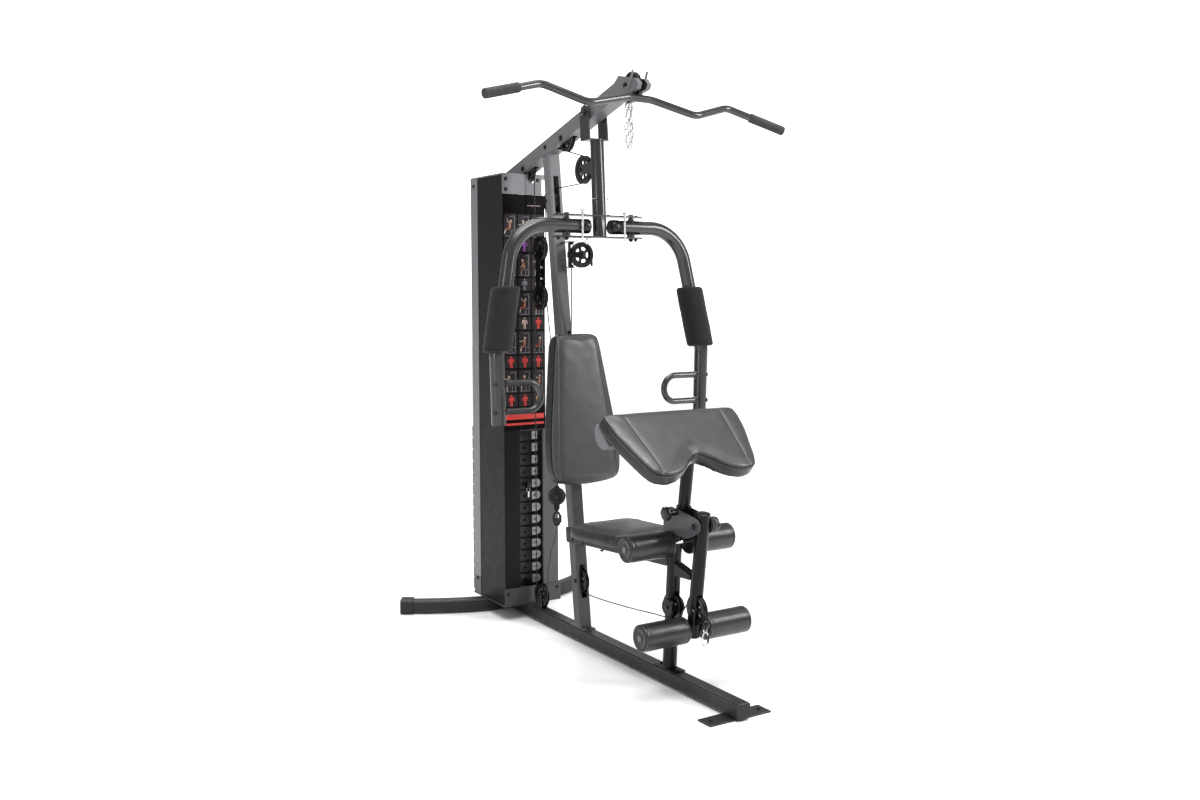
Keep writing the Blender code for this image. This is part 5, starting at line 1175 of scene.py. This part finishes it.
def make_cables():
    """The three cables, split where they cross a joint."""
    press_seat = SEAT_RADIUS + PRESS_RADIUS - WHEEL_RADIUS
    tip, mid = arc(TIP, 180, 74), arc(MID, 74, -76)
    press, slot = arc(PRESS, 104, 269, press_seat), arc(SLOT, 89, 0)
    up_float, rear = arc(FLOAT[0], 180, 360), arc(REAR, 180, 71)
    run("bar_cable", [LAT + UP * 0.0160, tip[0]], None, joint=("lat_bar", "frame"))
    run("boom_cable", tip + mid, "frame", ("upper_cable",))
    run("press_cable_in", [mid[-1], press[0]], None, joint=("frame", "press_arm"))
    run("press_cable_wrap", press, "press_arm")
    run("press_cable_out", [press[-1], slot[0]], None, joint=("press_arm", "frame"))
    run("slot_cable", slot, "frame")
    run("float_cable_down", [slot[-1], up_float[0]], None, joint=("frame", "floating_block"))
    run("float_cable_wrap", up_float, "floating_block")
    run("float_cable_up", [up_float[-1], rear[0]], None, joint=("floating_block", "frame"))
    high = arc(STACK, 71, 0)
    run("stack_cable_top", rear + high + [Vector((0, STACK_Y, 1.735))], "frame")
    run("stack_cable", [Vector((0, STACK_Y, 1.735)), Vector((0, STACK_Y, 0.806))], None,
        joint=("frame", "lifted_stack"))

    dev, post = arc(DEV, 180, 39), arc(POST, 219, 267)
    low, down_float = arc(LOW, 267, 349), arc(FLOAT[1], 169, 0)
    run("developer_cable", [Vector((0, DEV[0] - SEAT_RADIUS, 0.262))] + dev, "leg_developer")
    run("developer_cable_out", [dev[-1], post[0]], None, joint=("leg_developer", "frame"))
    sag = [Vector((0, y, z)) for y, z in FLOOR_CABLE_SAG]
    run("floor_cable", post + sag + low, "frame", ("lower_cable",))
    run("rising_cable", [low[-1], down_float[0]], None, joint=("frame", "floating_block"))
    run("block_cable", down_float, "floating_block")
    base = arc(BASE, 0, -178)
    run("base_cable_in", [down_float[-1], base[0]], None, joint=("floating_block", "frame"))
    lift = [Vector((0, y, z)) for y, z in ((0.3700, 0.200), (0.3450, 0.290), (HOOK[0], 0.3930))]
    run("base_cable", base + lift, "frame")

    sx, sy, sz = SWIVEL
    over = [Vector((sx + SEAT_RADIUS * (1 + math.cos(a)), sy, sz + SEAT_RADIUS * math.sin(a)))
            for a in sweep(math.pi, 24)]
    run("fly_cable_top", [Vector((sx + 2 * SEAT_RADIUS, sy, sz - 0.030))] + over + [Vector((sx, sy, 1.400))],
        "swivel_yoke")
    route = [(sx, sy, 1.400), (sx, sy, 1.250), (sx, 0.2050, 1.160), (sx, 0.2120, 1.146), (sx, 0.2210, 1.134),
             (sx, 0.2320, 1.120), (sx, 0.2520, 1.085), (sx, 0.2660, 1.055), (0.011, 0.2810, 0.816),
             (0.004, HOOK[0], 0.5600)]
    run("fly_cable", [Vector(p) for p in route], "frame", ("swivel_cable",))


def make_cable_ends():
    """The developer cable's ball stop with its spring hook, and the fly cable's crimp."""
    def snap_hook(shape, top, drop=0.052):
        """A spring hook hanging from a point."""
        middle = top - UP * (0.010 + drop / 2)
        shape.tube(hoop(middle, SIDE, UP, 0.0125, drop / 2, 32), 0.0028, 12, zinc, loop=True)
        shape.lathe([(-0.014, 0.0036), (0.014, 0.0036)], middle + SIDE * 0.0122, UP, 16, bolt_black)
        shape.tube(hoop(top - UP * 0.004, SIDE, UP, 0.0065, 0.0065, 20), 0.0019, 10, zinc, loop=True)

    ends = Shape(plastic)
    y = DEV[0] - SEAT_RADIUS
    ends.lathe([(-0.021, 0.0035), (-0.019, 0.0080), (-0.013, 0.0125), (-0.006, 0.0142), (0.002, 0.0128),
                (0.008, 0.0085), (0.011, 0.0045)], (0, y, 0.258), UP, 32)
    snap_hook(ends, Vector((0, y, 0.238)), 0.044)
    ends.build("developer_cable_end", "leg_developer", "black_plastic")
    ends = Shape(zinc)
    ends.lathe([(-0.012, 0.0025), (-0.011, 0.0042), (0.008, 0.0042), (0.009, 0.0028)],
               SWIVEL + SIDE * (2 * SEAT_RADIUS) - UP * 0.030, UP, 18, bolt_black)
    ends.build("fly_cable_end", "swivel_yoke", "black_plastic")


# ---- weight stack -------------------------------------------------------------------------
def weight_plate(shape, bottom, top_plate=False):
    """One moulded plate with eased edges, and its pin hole's ring."""
    high = bottom + PLATE_PITCH - PLATE_GAP
    mid_y = (STACK_FRONT + STACK_REAR) / 2
    depth = STACK_REAR - STACK_FRONT
    rings = []
    edge = ((0.0, 0.0040), (0.0012, 0.0014), (0.0035, 0.0))
    for z, inset in [(bottom + h, i) for h, i in edge] + [(high - h, i) for h, i in edge[::-1]]:
        rings.append([(u, mid_y + v, z) for u, v in
                      rounded(PLATE_WIDTH - 2 * inset, depth - 2 * inset, PLATE_CORNER - inset, 6)])
    shape.skin(rings)
    if not top_plate:
        hole = (0, STACK_FRONT, bottom + PIN_HOLE)
        ring = [(-0.0012, 0.0064), (-0.0012, 0.0094), (-0.0006, 0.0100), (0.0016, 0.0100), (0.0016, 0.0064)]
        shape.lathe(ring, hole, BACK, 28, plastic, bored=True)
        shape.lathe([(-0.0003, 0.0066), (0.0010, 0.0066)], hole, BACK, 24, board)


def number_label(shape, bottom, number):
    """White label with the plate's number, and a half disc beside it on all but the first four."""
    z = bottom + 0.0236
    x = LABEL_X
    front = STACK_FRONT
    shape.slab(rounded(*LABEL_SIZE, 0.002, 3), (x, front, z), SIDE, UP, 0.0, LABEL_THICK, label_white)
    curve = bpy.data.curves.new("digits", "FONT")
    curve.body = str(number)
    curve.size = DIGIT_HEIGHT
    curve.align_x, curve.align_y = "CENTER", "CENTER"
    curve.extrude = 0.0002
    text = bpy.data.objects.new("digits", curve)
    mesh = text.to_mesh()
    verts = [(x + v.co.x, front - LABEL_THICK - v.co.z, z + v.co.y) for v in mesh.vertices]
    faces = [tuple(p.vertices) for p in mesh.polygons]
    shape.shell(verts, faces, board)
    text.to_mesh_clear()
    bpy.data.objects.remove(text)
    bpy.data.curves.remove(curve)
    if number > 40:
        half = [(0.0145 * math.sin(a), 0.0158 * math.cos(a)) for a in sweep(math.pi, 12)]
        shape.slab(half, (x + LABEL_SIZE[0] / 2, front, z), SIDE, UP, 0.0, LABEL_THICK, label_white)


def make_stack():
    """Separate plates with labels, top plate, pin, guide rods and bushes."""
    resting, lifted, top = Shape(plate_shell), Shape(plate_shell), Shape(plate_shell)
    total = PLATES_BELOW + PLATES_LIFTED
    for k in range(total):
        shape = resting if k < PLATES_BELOW else lifted
        bottom = STACK_BASE_Z + k * PLATE_PITCH
        weight_plate(shape, bottom)
        number_label(shape, bottom, 10 * (total + 1 - k))
    bottom = STACK_BASE_Z + total * PLATE_PITCH
    weight_plate(top, bottom, top_plate=True)
    number_label(top, bottom, 10)
    high = bottom + PLATE_PITCH - PLATE_GAP
    for x in (-ROD_X, ROD_X):
        top.lathe([(-0.002, 0.0105), (-0.002, 0.0175), (0.0050, 0.0175), (0.0065, 0.0160), (0.0065, 0.0105)],
                  (x, STACK_Y, high), UP, 32, plastic, bored=True)
    stem = [(-0.005, 0.0180), (0.004, 0.0180), (0.0055, 0.0165), (0.0055, 0.0125), (0.0300, 0.0125),
            (0.0315, 0.0110), (0.0315, 0.0075), (0.0500, 0.0075), (0.0515, 0.0060)]
    top.lathe(stem, (0, STACK_Y, high), UP, 32, zinc)
    top.lathe([(0.0200, 0.0145), (0.0285, 0.0145)], (0, STACK_Y, high + 0.010), UP, 6, bolt_black)
    resting.build("resting_plates", "frame", "weight_vinyl", ("resting_weights",))
    lifted.build("lifted_plates", "lifted_stack", "weight_vinyl", ("lifted_weights",))
    top.build("top_plate", "lifted_stack", "weight_vinyl", ("top_weight",))
    rod = Shape(zinc)
    rod.lathe([(0.0750, 0.010), (0.0800, 0.012), (high + 0.001, 0.012)], (0, STACK_Y, 0), UP, 20)
    rod.build("selector_rod", "lifted_stack", "weight_vinyl")

    pin = Shape(chrome)
    pin.lathe([(0.545, 0.0040), (0.548, 0.0047), (0.694, 0.0047), (0.6975, 0.0028)], (0, 0, PIN_Z), BACK, 24)
    grip = [(0.5180, 0.0070), (0.5186, 0.0095), (0.5210, 0.0122), (0.5250, 0.0130), (0.5350, 0.0130),
            (0.5385, 0.0118), (0.5400, 0.0085), (0.5455, 0.0075), (0.5490, 0.0072)]
    pin.lathe(grip, (0, 0, PIN_Z), BACK, 32, plastic)
    pin.build("pin_and_knob", "selector_pin", "chrome", ("selector_pin",))
    key = Shape(zinc)
    key.tube(hoop(Vector((0, 0.529, PIN_Z - 0.0195)), SIDE, UP, 0.008, 0.008, 28), 0.0010, 8, loop=True)
    key.slab(rounded(0.0070, 0.0240, 0.0022, 3), (0.001, 0.5285, PIN_Z - 0.0375), SIDE, UP, 0, 0.0012)
    key.build("pin_tag", "selector_pin", "chrome")
    cord = Shape(cable_mat)
    a, b = Vector((0, 0.5290, PIN_Z + 0.0125)), Vector((0, 0.5590, bottom + 0.036))
    slack = Vector((0.004, -0.014, 0))
    cord.tube([a.lerp(b, k / 40) + slack * math.sin(math.pi * k / 40) for k in range(41)], 0.0010, 8)
    obj = cord.build("pin_lanyard", None, "cable_black", sharp=60)
    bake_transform(obj)
    dress(["guide_rod_left", "guide_rod_right"], chrome)
    buffers = Shape(rubber)
    for x in (-ROD_X, ROD_X):
        buffer = [(0.0610, 0.0105), (0.0610, 0.0190), (0.0650, 0.0190), (0.0656, 0.0180), (0.0656, 0.0105)]
        buffers.lathe(buffer, (x, STACK_Y, 0), UP, 28, bored=True)
    buffers.build("stack_buffers", "frame", "rubber")


# ---- column -------------------------------------------------------------------------------
def exercise(bar, dot, x, z, number):
    """A stick figure on a line drawing of a bench, its limbs turned by the picture's number."""
    lean = (number * 37) % 50 - 25
    lift = (number * 53) % 120 - 30
    for dx, dz, length, angle in BENCH_LINES:
        bar(x + dx, z + dz, length, 0.0022, angle, print_blue)
    hip = (x - 0.001 + 0.004 * (number % 3 - 1), z - 0.013)

    def limb(start, angle, length, wide, ink):
        a = math.radians(angle)
        end = (start[0] + length * math.cos(a), start[1] + length * math.sin(a))
        bar((start[0] + end[0]) / 2, (start[1] + end[1]) / 2, length + wide, wide, angle, ink)
        return end

    neck = limb(hip, 90 + lean * 0.5, 0.023, 0.0085, print_warm)
    dot(neck[0] - lean * 0.0001, neck[1] + 0.0085, 0.0048, print_pale)
    elbow = limb(neck, 180 + lift, 0.0125, 0.0042, print_pale)
    hand = limb(elbow, 150 + lift * 1.5, 0.0115, 0.0036, print_pale)
    dot(hand[0], hand[1], 0.0026, print_blue)
    knee = limb(hip, 195 + lean * 0.6, 0.0150, 0.0056, print_red if number % 2 else print_warm)
    limb(knee, 262 + lean * 0.4, 0.0170, 0.0044, print_pale)


def upright_figure(mark, bar, dot, x, z, ink):
    """A plain upright figure in one colour."""
    dot(x, z + 0.0185, 0.0038, ink)
    torso = [(-0.0085, 0.0125), (0.0085, 0.0125), (0.0060, -0.0020), (0.0050, -0.0070), (-0.0050, -0.0070),
             (-0.0060, -0.0020)]
    mark(torso, x, z, ink, 0.0008)
    for side in (-1, 1):
        bar(x + side * 0.0105, z + 0.0045, 0.0165, 0.0034, 90 + side * 14, ink)
        bar(x + side * 0.0030, z - 0.0145, 0.0180, 0.0044, 90 + side * 5, ink)
    bar(x, z + 0.0030, 0.0150, 0.0012, 90, tile)


def make_placard():
    """Chart board: rows of tiles with plain pictograms, and two stripes at the foot."""
    front = BOARD_FRONT
    x0, x1, z0, z1 = BOARD_BOX
    chart = Shape(board)
    chart.slab(rounded(x1 - x0, z1 - z0, 0.004, 4), ((x0 + x1) / 2, front + 0.0025, (z0 + z1) / 2), SIDE, UP,
               0.0, 0.0025)

    def mark(outline, x, z, ink, level=0.0005):
        chart.slab(outline, (x, front, z), SIDE, UP, -0.0004, level, ink)

    def bar(x, z, length, wide, angle, ink):
        a = math.radians(angle)
        c, s = math.cos(a), math.sin(a)
        outline = rounded(length, wide, wide * 0.49, 3)
        mark([(u * c - v * s, u * s + v * c) for u, v in outline], x, z, ink, 0.0008)

    def dot(x, z, r, ink):
        mark([(r * math.cos(t), r * math.sin(t)) for t in turns(16)], x, z, ink, 0.0008)

    mark(rounded(0.060, 0.0026, 0.001, 2), 0.012, 1.6480, print_pale)
    inks = [(print_violet, print_violet, print_blue), (print_blue, print_blue, print_pale),
            (print_blue, print_pale, print_red), (print_red, print_red, print_red),
            (print_red, print_red, print_gold)]
    for row in range(5):
        top = 1.6130 - row * TILE_PITCH[1]
        for col in range(3):
            x = -0.0925 + col * TILE_PITCH[0]
            mark(rounded(0.0550, 0.0910, 0.003, 3), x, top - 0.045, tile)
            mark(rounded(0.0550, 0.0500, 0.003, 3), x, top - 0.120, tile)
            exercise(bar, dot, x, top - 0.045, row * 3 + col)
            upright_figure(mark, bar, dot, x, top - 0.120, inks[row][col])
    mark(rounded(0.1700, 0.0200, 0.001, 2), -0.0317, 0.8180, print_red)
    mark(rounded(0.1700, 0.0090, 0.001, 2), -0.0317, 0.7900, print_red)
    chart.build("chart_board", "frame", "placard", ("exercise_placard",))


def make_frame_details(bolts):
    """Bolts, screws, washers and plugs of the fixed frame."""
    for side in (-1, 1):
        x = side * 0.0272
        bolts.bolt((x, 0.652, 1.7790), (side, 0, 0), 0.0060, nut=side > 0)
        bolts.bolt((x, 0.330, 1.8560), (side, 0, 0), 0.0066, nut=side > 0)
        for y, z in ((0.132, 0.388), (0.152, 0.416)):
            bolts.bolt((side * 0.0284, y, z), (side, 0, 0), 0.0058, nut=side > 0)
        bolts.bolt((side * 0.0252, 0.640, 0.0303), (side, 0, 0), 0.0066)
        bolts.bolt((side * 0.0955, -0.8045, 0.0052), UP, 0.0056)
    # front plates of the column, then the sides of its rear bars
    for x, z in ((-0.112, 1.7480), (0.030, 1.7480), (-0.112, 1.7080), (-0.112, 0.1080), (0.112, 0.1080)):
        bolts.bolt((x, 0.4918, z), -BACK, 0.0056)
    for side in (-1, 1):
        for z in (1.735, 0.125):
            bolts.bolt((side * 0.1267, 0.742, z), (side, 0, 0), 0.0056)
    # feet of the upright and the seat post, then the seat board's underside
    for y in (0.1026 - 0.040, 0.1026 + 0.044, -0.4564 - 0.046, -0.4564 + 0.046):
        bolts.bolt((0, y, 0.0597), UP, 0.0062)
    for y in (-0.030, -0.180):
        bolts.bolt((0, y, 0.3735 - y * SEAT_SLOPE), -UP, 0.0062)
    bolts.build("frame_bolts", "frame", "black_plastic")

    parts = Shape(bolt_black)
    for side in (-1, 1):
        parts.bolt((side * 0.0256, *DEV), (side, 0, 0), 0.0068, nut=side > 0)
    parts.lathe([(0.0, 0.0226), (0.0030, 0.0226), (0.0050, 0.0200), (0.0058, 0.0150)],
                (0, -0.6367, 0.6079), Vector((0, -0.1265, 1)), 36, plastic)
    parts.build("developer_fittings", "leg_developer", "black_plastic")


def make_knobs():
    """Lobed knobs of the curl post and the developer's pivot."""
    def lobed(shape, centre, axis, reach, lobes=6):
        axis, across, along = frame_of(axis)
        rings = []
        for h, r, wave in ((0.000, 0.80, 0.00), (0.001, 0.88, 0.04), (0.004, 0.96, 0.06), (0.010, 1.0, 0.07),
                           (0.014, 0.98, 0.07), (0.0168, 0.90, 0.05), (0.0180, 0.74, 0.02)):
            ring = []
            for k in range(72):
                a = 2 * math.pi * k / 72
                rad = reach * (r - wave * (0.5 - 0.5 * math.cos(lobes * a)))
                ring.append(Vector(centre) + axis * h + (across * math.cos(a) + along * math.sin(a)) * rad)
            rings.append(ring)
        shape.skin(rings, plastic)

    knob = Shape(plastic)
    lobed(knob, (-0.0600, *HEIGHT_KNOB), (-1, 0, 0), 0.0245)
    knob.lathe([(-0.0610, 0.0125), (-0.0560, 0.0110), (-0.0300, 0.0100)], (0, *HEIGHT_KNOB), SIDE, 28)
    knob.lathe([(-0.0320, 0.0057), (-0.0222, 0.0057)], (0, *HEIGHT_KNOB), SIDE, 20, zinc)
    knob.build("curl_post_knob", "height_knob", "black_plastic", ("height_knob",))
    cover = Shape(plastic)
    lobed(cover, (0.0362, *DEV_PIVOT), (1, 0, 0), 0.0262)
    cover.bolt((-0.0358, *DEV_PIVOT), (-1, 0, 0), 0.0078)
    cover.build("pivot_knob_cover", "frame", "black_plastic")


# ---- assembly -----------------------------------------------------------------------------
set_up_view()
for nodes, paint, edge, width in (
        (["stack_frame"], column_paint, column_paint, 0.0009),
        (["boom"], frame_grey, frame_edge, 0.0009),
        # the upright's paint carries painted shade on its lower part
        (["front_upright"], painted_shade_upright, painted_shade_upright, 0.0009),
        (["shroud_right"], guard_paint, guard_paint, 0.0009),
        (["main_beam", "rear_stabilizer", "seat_beam"], charcoal, charcoal_edge, 0.0009),
        (["leg_developer"], black, black_edge, 0.0006),
        (["preacher_post"], post_paint, post_paint, 0.0006),
        (["seat_post"], bracket, bracket, 0.0006),
        (["front_foot_plate"], charcoal, charcoal_edge, 0.0008),
        (["shroud_left"], shroud, shroud_edge, 0.0005),
        (["stabilizer_cap_left", "stabilizer_cap_right", "beam_front_cap"], plastic, black_edge, 0.0010)):
    dress(nodes, paint, edge, width)
make_pads()
make_rollers()
make_sleeves()
make_arms()
make_carriage()
make_lat_bar()
make_chain()
frame_bolts = make_wheels()
make_blocks()
make_cables()
make_cable_ends()
make_stack()
make_placard()
make_frame_details(frame_bolts)
make_knobs()
